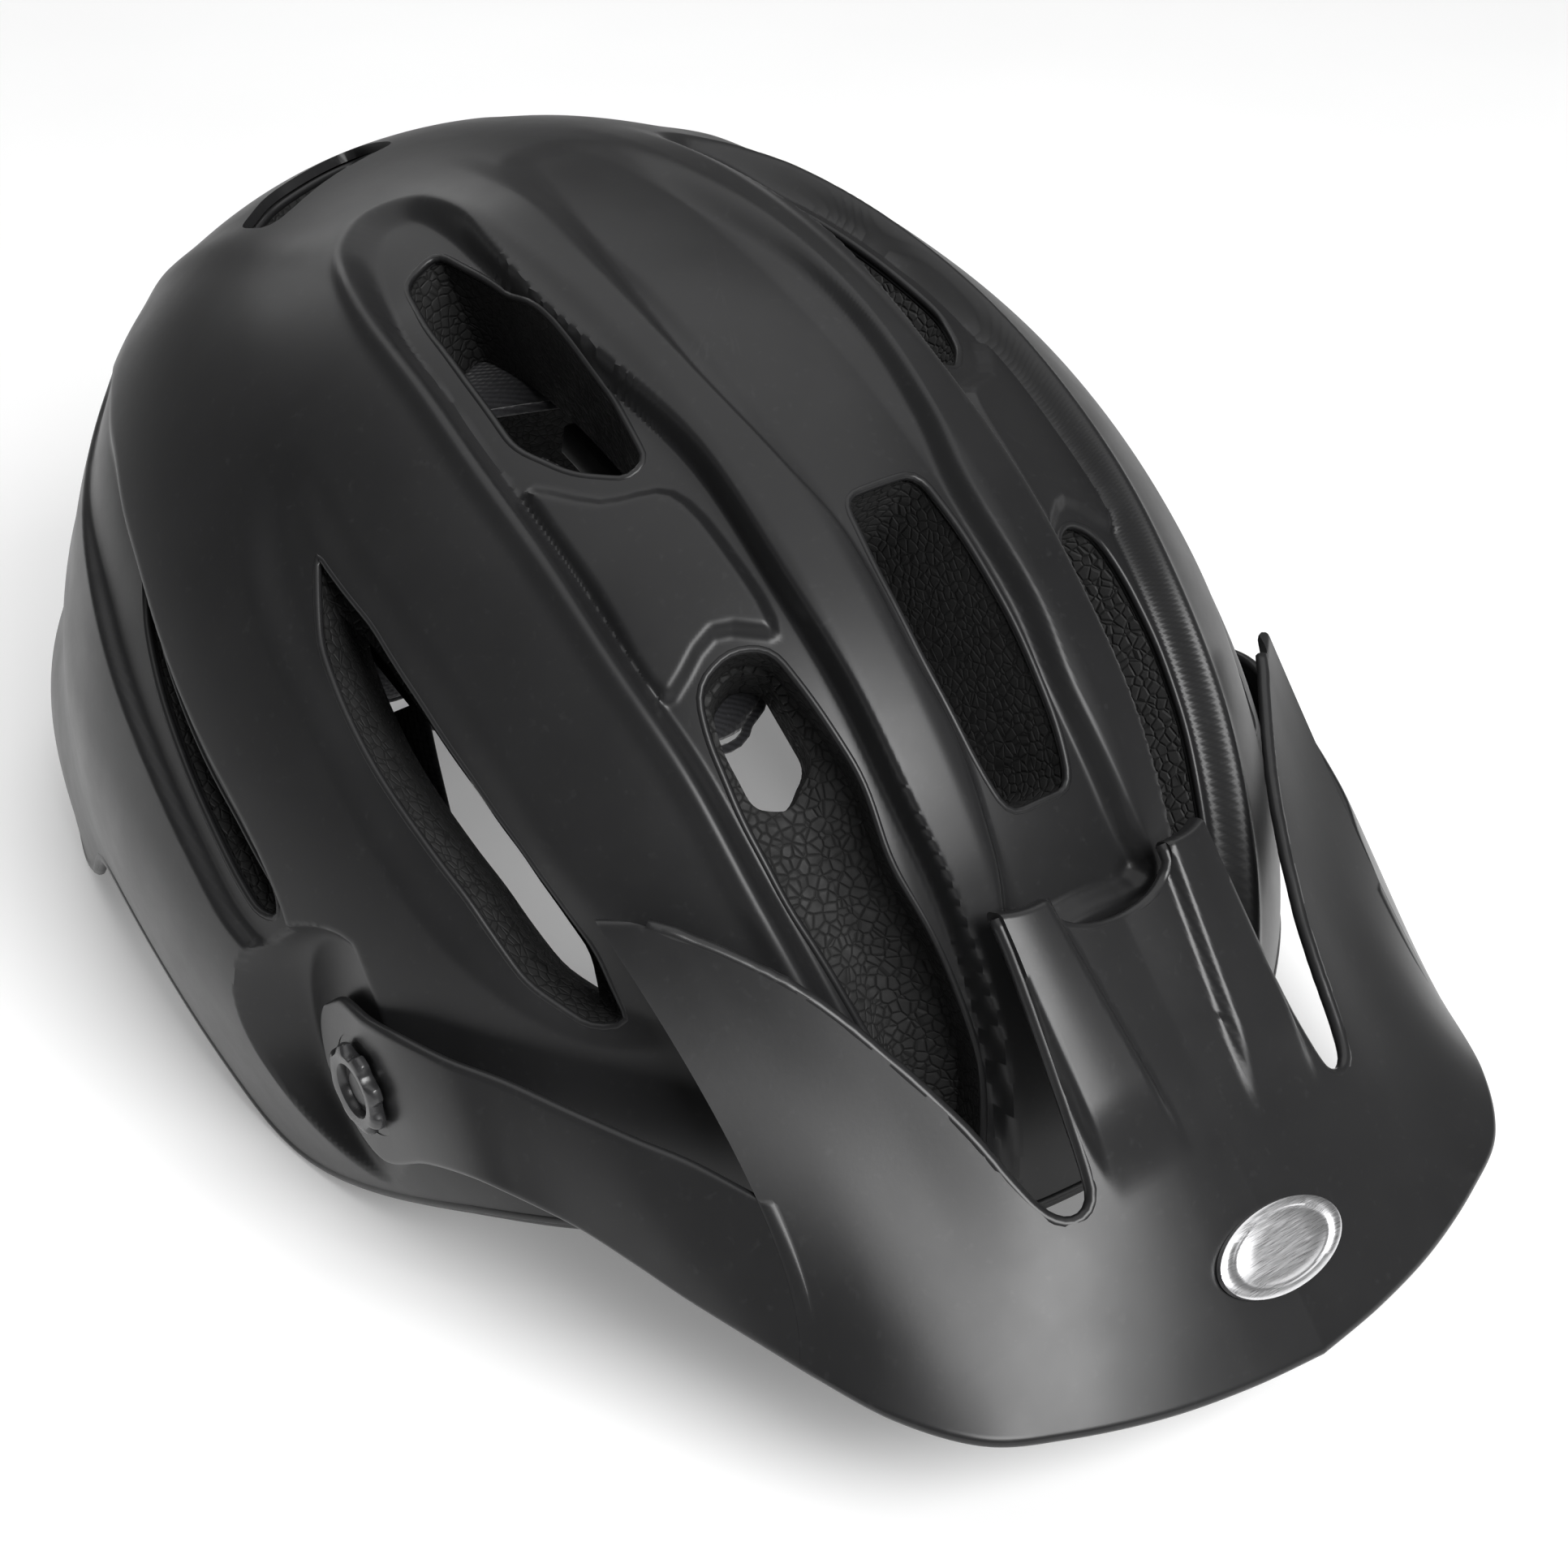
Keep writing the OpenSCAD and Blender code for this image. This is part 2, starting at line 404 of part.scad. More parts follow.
// ---- Pads ----
// A thick patch of the liner's inside between two angles and two heights
module patch(a0, a1, t0, t1, ca, ct, d0, d1) {
  P = [for (d = [d0, d1]) for (i = [0:ca]) for (j = [0:ct]) inner(a0 + (a1 - a0) * i / ca, t0 + (t1 - t0) * j / ct, d)];
  m = ct + 1; n = (ca + 1) * m;
  f = concat(
    [for (i = [0:ca - 1]) for (j = [0:ct - 1]) let (a = i * m + j, b = a + m) each [[a, b, a + 1], [b, b + 1, a + 1]]],
    [for (i = [0:ca - 1]) for (j = [0:ct - 1]) let (a = n + i * m + j, b = a + m) each [[a, a + 1, b], [b, a + 1, b + 1]]],
    [for (i = [0:ca - 1]) let (a = i * m, b = a + m) each [[a, n + a, b], [b, n + a, n + b]]],
    [for (i = [0:ca - 1]) let (a = i * m + ct, b = a + m) each [[a, b, n + a], [b, n + b, n + a]]],
    [for (j = [0:ct - 1]) each [[j, j + 1, n + j], [j + 1, n + j + 1, n + j]]],
    [for (j = [0:ct - 1]) let (a = ca * m + j) each [[a, n + a, a + 1], [a + 1, n + a, n + a + 1]]]);
  polyhedron(P, f, convexity = 4);
}
module brow_pad() color(pad_c) place() patch(-46, 46, 54, 66, 14, 2, 0.5, 0.5 + pad_t);
module crown_pad(a, b) color(pad_c) place() patch(a, b, 10, 40, 3, 6, 0.5, 0.5 + pad_t);
module crown_pads(s) { for (c = [[20, 48], [132, 160]]) crown_pad(s > 0 ? c[0] : -c[1], s > 0 ? c[1] : -c[0]); }
module crown_pad_right() crown_pads(-1);
module crown_pad_left() crown_pads(1);
module side_pad(s) color(pad_c) place() patch(s > 0 ? 66 : -112, s > 0 ? 112 : -66, 60, 78, 8, 3, 0.5, 0.5 + pad_t * 0.8);
module side_pad_right() side_pad(-1);
module side_pad_left() side_pad(1);
module nape_pad() color(pad_c) place() translate([0, rack_y - 10.5, dial_z])
  hull() for (s = [-1, 1]) translate([s * 9, 0, 0]) rotate([-90, 0, 0]) cylinder(r = 9, h = 5.8);

// ---- Straps, put away inside the shell ----
function wall(az, tt, d) = inner(az, tt, d);
FRONT_LEG = [wall(53, 87, 5.2), wall(58, 80, 8), wall(67, 70, 8.8), wall(77, 62, 9), wall(86, 56.5, 9)];
REAR_LEG = [wall(129, 91, 5.2), wall(124, 84, 8), wall(115, 75, 8.8), wall(106, 66, 9), wall(97, 58, 9)];
CHIN = [wall(92, 49, 9), wall(94, 40, 9), wall(96, 30, 9.5), wall(100, 22, 10.5)];
module web(P, s) color(black_c) place() ribbon(mul(curve(P, 3), s), out_dir(mul(curve(P, 3), s)), web_w, web_t);
module strap_front_right() web(FRONT_LEG, -1);
module strap_front_left() web(FRONT_LEG, 1);
module strap_rear_right() web(REAR_LEG, -1);
module strap_rear_left() web(REAR_LEG, 1);
module chin_strap_right() web(CHIN, -1);
module chin_strap_left() web(CHIN, 1);
module side(s) { if (s < 0) mirror([1, 0, 0]) children(); else children(); }
module divider(s) color(black_c) place() side(s) translate(wall(93, 53.6, 9.6)) rotate([0, 52, 0]) difference() {
  translate([-11, -14, -3.4]) cube([13, 28, 2.6]);
  for (y = [-11, 1]) translate([-8.5, y, -5]) cube([3, 10, 6]);
  translate([-2, -9, -5]) cube([2.4, 18, 6]);
}
module strap_divider_right() divider(-1);
module strap_divider_left() divider(1);
// Four plates on the liner's wall hold the webbing's ends
module strap_anchors() color(black_c) place() both() {
  patch(48, 57, 83.5, 88.5, 2, 1, 0.5, 3.4);
  patch(124, 134, 88, 93, 2, 1, 0.5, 3.4);
}
buckle = [0, 7, 74];
module buckle_female() color(black_c) place() translate(buckle) difference() {
  translate([-1, -11, -3]) cube([26, 22, 6]);
  translate([-2, -8.5, -1.6]) cube([19, 17, 3.2]);
  translate([20, -8, -4]) cube([2.4, 16, 8]);
  for (y = [-12, 8.4]) translate([5, y, -1.6]) cube([8, 3.6, 3.2]);
}
module buckle_male() color(black_c) place() translate(buckle) {
  difference() {
    translate([-16, -11, -3]) cube([14.6, 22, 6]);
    translate([-12, -8, -4]) cube([2.4, 16, 8]);
  }
  translate([-2, -2, -1.2]) cube([16, 4, 2.4]);
  for (s = [-1, 1]) translate([0, s * 6.6, 0]) { translate([-2, -1.1, -1.2]) cube([13, 2.2, 2.4]); }
}
module strap_keeper() color(black_c) place() translate([31, 4.8, 72.4]) rotate([0, 22.5, 0]) difference() {
  cube([5, web_w + 5.6, 5.8], center = true);
  cube([6, web_w + 2.2, 3.4], center = true);
}

outer_shell();
eps_liner();
visor();
visor_badge();
visor_screw_right();
visor_screw_left();
visor_washer_right();
visor_washer_left();
visor_insert_right();
visor_insert_left();
temple_clip_right();
temple_clip_left();
fit_band_right();
fit_band_left();
fit_rack_right();
fit_rack_left();
cradle();
cradle_lobe_right();
cradle_lobe_left();
dial_cover();
fit_dial();
dial_pinion();
height_hanger();
hanger_anchor();
brow_pad();
crown_pad_right();
crown_pad_left();
side_pad_right();
side_pad_left();
nape_pad();
strap_front_right();
strap_front_left();
strap_rear_right();
strap_rear_left();
chin_strap_right();
chin_strap_left();
strap_divider_right();
strap_divider_left();
strap_anchors();
buckle_female();
buckle_male();
strap_keeper();
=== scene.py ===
import bpy
import bmesh
import math
import random
import numpy as np
from mathutils import Vector, Matrix


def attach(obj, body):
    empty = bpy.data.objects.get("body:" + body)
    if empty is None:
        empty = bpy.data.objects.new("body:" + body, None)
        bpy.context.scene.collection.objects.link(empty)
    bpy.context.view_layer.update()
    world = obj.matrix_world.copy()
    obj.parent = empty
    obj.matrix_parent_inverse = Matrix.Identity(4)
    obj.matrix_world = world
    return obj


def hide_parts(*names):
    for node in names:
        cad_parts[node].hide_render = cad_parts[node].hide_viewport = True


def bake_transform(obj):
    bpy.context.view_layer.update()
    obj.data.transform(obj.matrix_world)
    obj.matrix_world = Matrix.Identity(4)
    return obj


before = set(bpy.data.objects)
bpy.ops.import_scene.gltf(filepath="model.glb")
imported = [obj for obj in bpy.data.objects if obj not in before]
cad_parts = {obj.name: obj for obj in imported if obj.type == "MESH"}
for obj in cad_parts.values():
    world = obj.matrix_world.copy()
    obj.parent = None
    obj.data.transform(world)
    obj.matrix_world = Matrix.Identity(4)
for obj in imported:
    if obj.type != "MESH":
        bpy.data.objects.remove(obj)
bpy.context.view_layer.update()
random.seed(7)
np.random.seed(7)
COLL = bpy.context.scene.collection

# ---------------------------------------------------------------- the shell's own frame (mm) and the helmet as it stands (m)
TIP, SY, SZ = math.radians(14.0), 22.3, 34.3
CT, ST = math.cos(TIP), math.sin(TIP)


def stand(P):
    P = np.asarray(P, float)
    x, y, z = P[..., 0], P[..., 1], P[..., 2]
    return np.stack([x, y * CT - z * ST + SY, y * ST + z * CT + SZ], -1) / 1000.0


def sst(a, b, x):
    t = np.clip((np.asarray(x, float) - a) / (b - a), 0, 1)
    return t * t * (3 - 2 * t)


# ---------------------------------------------------------------- small tools
def make(name, V, F, mat=None, smooth=True, local=True):
    """A mesh object from points in the shell's frame (mm) and faces."""
    V = stand(V) if local else np.asarray(V, float)
    me = bpy.data.meshes.new(name)
    me.from_pydata([tuple(v) for v in V.tolist()], [], [tuple(int(i) for i in f) for f in F])
    me.validate()
    me.update()
    ob = bpy.data.objects.new(name, me)
    COLL.objects.link(ob)
    if smooth:
        me.polygons.foreach_set("use_smooth", [True] * len(me.polygons))
    if mat:
        me.materials.append(mat)
    return ob


def active(ob):
    bpy.ops.object.select_all(action="DESELECT")
    bpy.context.view_layer.objects.active = ob
    ob.select_set(True)


def apply_all(ob):
    active(ob)
    for m in list(ob.modifiers):
        bpy.ops.object.modifier_apply(modifier=m.name)


def boolean(ob, cutters, op="DIFFERENCE"):
    group = bpy.data.collections.new("cutters")
    COLL.children.link(group)
    for c in cutters:
        for k in list(c.users_collection):
            k.objects.unlink(c)
        group.objects.link(c)
    m = ob.modifiers.new("cut", "BOOLEAN")
    m.operation = op
    m.operand_type = "COLLECTION"
    m.collection = group
    m.solver = "MANIFOLD"
    apply_all(ob)
    for c in cutters:
        me = c.data
        bpy.data.objects.remove(c)
        bpy.data.meshes.remove(me)
    bpy.data.collections.remove(group)
    return ob


def join(name, obs):
    bpy.ops.object.select_all(action="DESELECT")
    for o in obs:
        o.select_set(True)
    bpy.context.view_layer.objects.active = obs[0]
    bpy.ops.object.join()
    o = bpy.context.view_layer.objects.active
    o.name = name
    o.data.name = name
    return o


def sharpen(ob, deg=35):
    """Smooth shading, apart from edges sharper than this."""
    me = ob.data
    bm = bmesh.new()
    bm.from_mesh(me)
    lim = math.radians(deg)
    for f in bm.faces:
        f.smooth = True
    for e in bm.edges:
        e.smooth = not (len(e.link_faces) == 2 and e.calc_face_angle(0) > lim)
    bm.to_mesh(me)
    bm.free()
    return ob


def tidy(ob, dist=0.00002):
    bm = bmesh.new()
    bm.from_mesh(ob.data)
    bmesh.ops.remove_doubles(bm, verts=bm.verts, dist=dist)
    bmesh.ops.dissolve_degenerate(bm, edges=bm.edges, dist=dist)
    loose = [v for v in bm.verts if not v.link_faces]
    bmesh.ops.delete(bm, geom=loose, context="VERTS")
    bm.to_mesh(ob.data)
    bm.free()
    return ob


def round_poly(pts, r=2.0, n=5):
    """A closed polygon with rounded corners."""
    P = np.asarray(pts, float)
    out = []
    m = len(P)
    for i in range(m):
        a, b, c = P[i - 1], P[i], P[(i + 1) % m]
        la, lc = np.linalg.norm(a - b), np.linalg.norm(c - b)
        da, dc = (a - b) / la, (c - b) / lc
        k = min(r, 0.45 * la, 0.45 * lc)
        p, q = b + da * k, b + dc * k
        for j in range(n + 1):
            t = j / n
            out.append((1 - t) ** 2 * p + 2 * t * (1 - t) * b + t * t * q)
    return np.array(out)


def resample(P, step, closed=True):
    P = np.asarray(P, float)
    Q = np.vstack([P, P[:1]]) if closed else P
    d = np.r_[0, np.cumsum(np.linalg.norm(np.diff(Q, axis=0), axis=1))]
    n = max(4, int(round(d[-1] / step)))
    s = np.linspace(0, d[-1], n + 1)
    R = np.stack([np.interp(s, d, Q[:, k]) for k in range(Q.shape[1])], 1)
    return R[:-1] if closed else R


def chaikin(P, k=2, closed=True):
    P = np.asarray(P, float)
    for _ in range(k):
        if closed:
            N = np.roll(P, -1, 0)
            P = np.stack([P * 0.75 + N * 0.25, P * 0.25 + N * 0.75], 1).reshape(-1, P.shape[1])
        else:
            A, B = P[:-1], P[1:]
            Q = np.stack([A * 0.75 + B * 0.25, A * 0.25 + B * 0.75], 1).reshape(-1, P.shape[1])
            P = np.vstack([P[:1], Q, P[-1:]])
    return P


def catmull(P, k, closed=False):
    P = np.asarray(P, float)
    n = len(P)
    out = []
    rng = range(n if closed else n - 1)
    for i in rng:
        a = P[(i - 1) % n] if closed else P[max(0, i - 1)]
        b, c = P[i], P[(i + 1) % n]
        d = P[(i + 2) % n] if closed else P[min(n - 1, i + 2)]
        for j in range(k):
            f = j / k
            out.append(b + 0.5 * f * (c - a + f * (2 * a - 5 * b + 4 * c - d + f * (3 * (b - c) + d - a))))
    if not closed:
        out.append(P[-1])
    return np.array(out)


def sdf(poly, X):
    """Signed distance to a closed polygon, positive inside."""
    poly = np.asarray(poly, float)
    X = np.asarray(X, float)
    best = np.full(len(X), 1e9)
    inside = np.zeros(len(X), bool)
    for i in range(len(poly)):
        a, b = poly[i], poly[(i + 1) % len(poly)]
        ab = b - a
        L = (ab**2).sum() + 1e-12
        t = np.clip(((X - a) @ ab) / L, 0, 1)
        best = np.minimum(best, np.hypot(X[:, 0] - a[0] - t * ab[0], X[:, 1] - a[1] - t * ab[1]))
        cond = (a[1] > X[:, 1]) != (b[1] > X[:, 1])
        with np.errstate(divide="ignore", invalid="ignore"):
            xi = a[0] + (X[:, 1] - a[1]) * ab[0] / (ab[1] if ab[1] != 0 else 1e-12)
        inside ^= cond & (X[:, 0] < xi)
    return np.where(inside, best, -best)


def tube(name, P, r, mat, closed=True, seg=10, flat=None):
    """A round bead along points in the shell's frame."""
    P = np.asarray(P, float)
    n = len(P)
    T = (np.roll(P, -1, 0) - np.roll(P, 1, 0)) if closed else np.gradient(P, axis=0)
    T /= np.linalg.norm(T, axis=1)[:, None] + 1e-9
    up = flat if flat is not None else np.tile([0, 0, 1.0], (n, 1))
    S = np.cross(T, up)
    S /= np.linalg.norm(S, axis=1)[:, None] + 1e-9
    W = np.cross(S, T)
    V, F = [], []
    for j in range(seg):
        a = 2 * math.pi * j / seg
        V.append(P + r * (math.cos(a) * S + math.sin(a) * W))
    V = np.stack(V, 1).reshape(-1, 3)
    for i in range(n if closed else n - 1):
        k = (i + 1) % n
        for j in range(seg):
            l = (j + 1) % seg
            F.append((i * seg + j, i * seg + l, k * seg + l, k * seg + j))
    if not closed:
        F.append(tuple(range(seg))[::-1])
        F.append(tuple((n - 1) * seg + j for j in range(seg)))
    ob = make(name, V, F, mat)
    bm = bmesh.new()
    bm.from_mesh(ob.data)
    bmesh.ops.recalc_face_normals(bm, faces=bm.faces)
    bm.to_mesh(ob.data)
    bm.free()
    return ob


# ---------------------------------------------------------------- materials
class Mat:
    """A node material with its own small vocabulary."""

    def __init__(self, name):
        self.m = bpy.data.materials.new(name)
        self.m.use_nodes = True
        self.t = self.m.node_tree
        self.b = self.t.nodes["Principled BSDF"]
        self.tc = self.t.nodes.new("ShaderNodeTexCoord")
        self.bump = None

    def link(self, a, b):
        self.t.links.new(a, b)

    def noise(self, scale, detail=3.0, rough=0.5, stretch=(1, 1, 1)):
        mp = self.t.nodes.new("ShaderNodeMapping")
        mp.inputs["Scale"].default_value = stretch
        self.link(self.tc.outputs["Object"], mp.inputs["Vector"])
        n = self.t.nodes.new("ShaderNodeTexNoise")
        n.inputs["Scale"].default_value = scale
        n.inputs["Detail"].default_value = detail
        n.inputs["Roughness"].default_value = rough
        self.link(mp.outputs["Vector"], n.inputs["Vector"])
        return n.outputs["Fac"]

    def voronoi(self, scale, feature="F1", out="Distance", rand=1.0):
        n = self.t.nodes.new("ShaderNodeTexVoronoi")
        n.feature = feature
        n.inputs["Scale"].default_value = scale
        n.inputs["Randomness"].default_value = rand
        self.link(self.tc.outputs["Object"], n.inputs["Vector"])
        return n.outputs[out]

    def wave(self, scale, direction="X", dist=0.0, detail=0.0, kind="BANDS", vector=None):
        n = self.t.nodes.new("ShaderNodeTexWave")
        n.wave_type = kind
        n.bands_direction = direction
        n.inputs["Scale"].default_value = scale
        n.inputs["Distortion"].default_value = dist
        n.inputs["Detail"].default_value = detail
        self.link(vector or self.tc.outputs["Object"], n.inputs["Vector"])
        return n.outputs["Fac"]

    def attr(self, name):
        n = self.t.nodes.new("ShaderNodeAttribute")
        n.attribute_name = name
        return n

    def math(self, op, a, b=None):
        n = self.t.nodes.new("ShaderNodeMath")
        n.operation = op
        for i, v in enumerate((a, b)):
            if v is None:
                continue
            if isinstance(v, (int, float)):
                n.inputs[i].default_value = v
            else:
                self.link(v, n.inputs[i])
        return n.outputs[0]

    def ramp(self, fac, stops):
        n = self.t.nodes.new("ShaderNodeValToRGB")
        e = n.color_ramp.elements
        while len(e) < len(stops):
            e.new(0.5)
        for k, (p, c) in zip(e, stops):
            k.position = p
            k.color = (c, c, c, 1) if isinstance(c, (int, float)) else (*c, 1)
        self.link(fac, n.inputs["Fac"])
        return n.outputs["Color"]

    def mix(self, fac, a, b):
        n = self.t.nodes.new("ShaderNodeMix")
        n.data_type = "RGBA"
        for i, v in ((0, fac), (6, a), (7, b)):
            if isinstance(v, (int, float)):
                n.inputs[i].default_value = v
            elif isinstance(v, tuple):
                n.inputs[i].default_value = (*v, 1)
            else:
                self.link(v, n.inputs[i])
        return n.outputs[2]

    def add_bump(self, height, strength, distance):
        n = self.t.nodes.new("ShaderNodeBump")
        n.inputs["Strength"].default_value = strength
        n.inputs["Distance"].default_value = distance
        self.link(height, n.inputs["Height"])
        if self.bump is not None:
            self.link(self.bump, n.inputs["Normal"])
        self.bump = n.outputs["Normal"]
        self.link(self.bump, self.b.inputs["Normal"])

    def edges(self):
        """Where the surface is convex or worn, from its own pointiness."""
        n = self.t.nodes.new("ShaderNodeNewGeometry")
        return n.outputs["Pointiness"]

    def set(self, **k):
        for key, v in k.items():
            s = self.b.inputs[key.replace("_", " ")]
            if hasattr(v, "links"):
                self.link(v, s)
            elif isinstance(v, tuple):
                s.default_value = (*v, 1) if len(v) == 3 else v
            else:
                s.default_value = v
        return self


def plastic(name, dark, light, rough=(0.42, 0.55), grain=900.0, grain_h=0.00003, bump=0.35, mottling=26.0, wear=0.0, spec=0.5, coat=0.0):
    M = Mat(name)
    big = M.noise(mottling, 4, 0.6)
    fine = M.noise(grain, 2, 0.6)
    col = M.ramp(big, [(0.35, dark), (0.68, light)])
    speck = M.ramp(M.noise(grain * 0.45, 2, 0.5), [(0.62, 0.0), (0.8, 0.25)])
    col = M.mix(speck, col, tuple(min(1, c * 1.9 + 0.01) for c in light))
    if wear:
        e = M.ramp(M.edges(), [(0.53, 0.0), (0.62, 1.0)])
        w = M.math("MULTIPLY", e, M.ramp(M.noise(140, 4, 0.65), [(0.42, 0.0), (0.62, wear)]))
        col = M.mix(w, col, tuple(min(1, c * 2.6 + 0.02) for c in light))
    M.set(Base_Color=col)
    M.link(M.ramp(M.noise(mottling * 2.3, 5, 0.65), [(0.3, rough[0]), (0.7, rough[1])]), M.b.inputs["Roughness"])
    M.set(Specular_IOR_Level=spec)
    if coat:
        M.set(Coat_Weight=coat, Coat_Roughness=0.3)
    M.add_bump(fine, bump, grain_h)
    M.add_bump(M.noise(mottling * 0.5, 2, 0.5), 0.12, 0.0004)
    return M.m


SHELL = plastic("shell_matt", (0.0105, 0.0105, 0.011), (0.0140, 0.0140, 0.0145), rough=(0.34, 0.40), grain=1400, grain_h=0.00002, bump=0.2, wear=0.12, spec=0.30)
VISOR = plastic("visor_satin", (0.0125, 0.0125, 0.013), (0.0165, 0.0165, 0.017), rough=(0.29, 0.34), grain=1300, grain_h=0.00002, bump=0.22, wear=0.15, spec=0.32)
LIP = plastic("shell_edge", (0.010, 0.010, 0.0105), (0.014, 0.014, 0.0145), rough=(0.32, 0.42), grain=1500, wear=0.1, spec=0.30)
HARD = plastic("black_acetal", (0.018, 0.018, 0.019), (0.026, 0.026, 0.027), rough=(0.35, 0.5), grain=1100, wear=0.25)
GREY = plastic("grey_nylon", (0.24, 0.24, 0.25), (0.32, 0.32, 0.33), rough=(0.38, 0.52), grain=1000, wear=0.2)
SCREW = plastic("screw_nylon", (0.02, 0.02, 0.021), (0.03, 0.03, 0.031), rough=(0.22, 0.36), grain=800, wear=0.4)
PINION = plastic("pinion_acetal", (0.68, 0.67, 0.62), (0.78, 0.77, 0.73), rough=(0.35, 0.5), grain=900)


def foam():
    M = Mat("foam_beads")
    cell = M.voronoi(560, "F1", "Distance")
    edge = M.voronoi(560, "DISTANCE_TO_EDGE", "Distance")
    shade = M.ramp(M.noise(60, 4, 0.6), [(0.3, (0.012, 0.012, 0.012)), (0.7, (0.022, 0.022, 0.022))])
    seam = M.ramp(edge, [(0.0, 0.0), (0.10, 1.0)])
    col = M.mix(seam, (0.006, 0.006, 0.006), shade)
    M.set(Base_Color=col, Specular_IOR_Level=0.35)
    M.link(M.ramp(M.noise(500, 2), [(0.3, 0.62), (0.7, 0.85)]), M.b.inputs["Roughness"])
    M.add_bump(M.ramp(edge, [(0.0, 0.0), (0.16, 1.0)]), 0.7, 0.00035)
    M.add_bump(M.math("MULTIPLY", cell, -1.0), 0.25, 0.0003)
    return M.m


FOAM = foam()


def rubber():
    M = Mat("grip_rubber")
    M.set(Base_Color=M.ramp(M.noise(90, 4), [(0.3, (0.014, 0.014, 0.014)), (0.7, (0.024, 0.024, 0.025))]), Specular_IOR_Level=0.4)
    M.link(M.ramp(M.noise(240, 3), [(0.3, 0.62), (0.7, 0.8)]), M.b.inputs["Roughness"])
    M.add_bump(M.noise(1500, 2), 0.4, 0.00004)
    return M.m


RUBBER = rubber()


def knit():
    M = Mat("pad_knit")
    a = M.wave(420, "DIAGONAL", 1.5, 1.0)
    b = M.voronoi(900, "F1", "Distance", 0.4)
    # colour follows the same diagonal ridges as the bump: painted shade in the grooves between them, painted highlight
    # on their tops
    col = M.mix(a, (0.016, 0.016, 0.018), (0.036, 0.036, 0.040))
    col = M.mix(M.ramp(M.noise(45, 4), [(0.35, 0.0), (0.7, 0.5)]), col, (0.026, 0.026, 0.028))
    fuzz = M.ramp(M.noise(2200, 2, 0.8), [(0.6, 0.0), (0.78, 0.5)])
    col = M.mix(fuzz, col, (0.085, 0.085, 0.09))
    M.set(Base_Color=col, Roughness=0.92, Specular_IOR_Level=0.2, Sheen_Weight=0.45, Sheen_Roughness=0.5)
    M.add_bump(b, 0.6, 0.0003)
    M.add_bump(a, 0.4, 0.0002)
    return M.m


KNIT = knit()


def webbing():
    """Woven ribbon: the attributes u and v run across and along it, in metres."""
    M = Mat("webbing")
    u, v = M.attr("across").outputs["Fac"], M.attr("along").outputs["Fac"]
    ribs = M.math("SINE", M.math("MULTIPLY", u, 2 * math.pi / 0.0011))
    picks = M.math("SINE", M.math("MULTIPLY", v, 2 * math.pi / 0.0016))
    tw = M.math("SINE", M.math("ADD", M.math("MULTIPLY", u, 2 * math.pi / 0.0022), M.math("MULTIPLY", v, 2 * math.pi / 0.0032)))
    h = M.math("ADD", M.math("MULTIPLY", ribs, 0.5), M.math("MULTIPLY", M.math("MULTIPLY", picks, tw), 0.5))
    h01 = M.math("ADD", M.math("MULTIPLY", h, 0.5), 0.5)
    # colour follows the weave's height: painted shade in the low grooves between threads, painted highlight on the
    # raised threads
    col = M.ramp(h01, [(0.15, (0.010, 0.010, 0.011)), (0.85, (0.036, 0.036, 0.038))])
    col = M.mix(M.ramp(M.noise(1600, 2), [(0.55, 0.0), (0.8, 0.4)]), col, (0.06, 0.06, 0.065))
    M.set(Base_Color=col, Roughness=0.72, Specular_IOR_Level=0.35, Sheen_Weight=0.2, Sheen_Roughness=0.4)
    M.add_bump(h01, 0.8, 0.0003)
    return M.m


WEB = webbing()


def thread():
    M = Mat("stitch_thread")
    M.set(Base_Color=M.ramp(M.wave(2500, "DIAGONAL", 1.0), [(0.2, (0.03, 0.03, 0.032)), (0.8, (0.09, 0.09, 0.095))]), Roughness=0.7)
    M.add_bump(M.wave(2500, "DIAGONAL", 0.5), 0.6, 0.0001)
    return M.m


THREAD = thread()


def metal(name, dark, light, rough, scale=(1, 1, 30)):
    M = Mat(name)
    br = M.noise(300, 3, 0.6, scale)
    M.set(Base_Color=M.ramp(br, [(0.3, dark), (0.7, light)]), Metallic=1.0)
    M.link(M.ramp(br, [(0.3, rough[0]), (0.7, rough[1])]), M.b.inputs["Roughness"])
    M.add_bump(br, 0.2, 0.00002)
    return M.m


BADGE = metal("badge_satin", (0.60, 0.60, 0.61), (0.76, 0.76, 0.77), (0.24, 0.4), (1, 40, 1))
BRASS = metal("brass", (0.62, 0.44, 0.20), (0.78, 0.58, 0.30), (0.22, 0.4))
BADGE_INK = plastic("badge_ring", (0.02, 0.02, 0.02), (0.03, 0.03, 0.03), rough=(0.3, 0.45), grain=900)

# ---------------------------------------------------------------- the shell's surface
HW, HL, RISE, DEEP, SKIN = 108.0, 141.0, 117.5, 190.0, 1.8
CAVW, CAVL, CAVH = 82.0, 112.0, 90.0
PIVOT = (-58.0, 23.0)
FLATX = 93.0
RIM = np.array([[-20, 30], [0, 34], [28, 26], [48, 6], [60, -15], [68, -26.5], [75, -28.8], [84, -21], [95, -15], [105, -11], [112, -16],
                [120, -41], [130, -54.5], [140, -58], [149, -58], [157, -50], [165, -31], [171, -24], [180, -23], [200, -24]], float)


def fold(az):
    a = np.mod(az, 360.0)
    return np.where(a > 180, 360 - a, a)


def rim_z(az):
    a = fold(az)
    f = lambda q: np.interp(q, RIM[:, 0], RIM[:, 1])
    return (f(a - 5) + 2 * f(a - 2.5) + 3 * f(a) + 2 * f(a + 2.5) + f(a + 5)) / 9 - 5.5 * sst(32, 16, a)


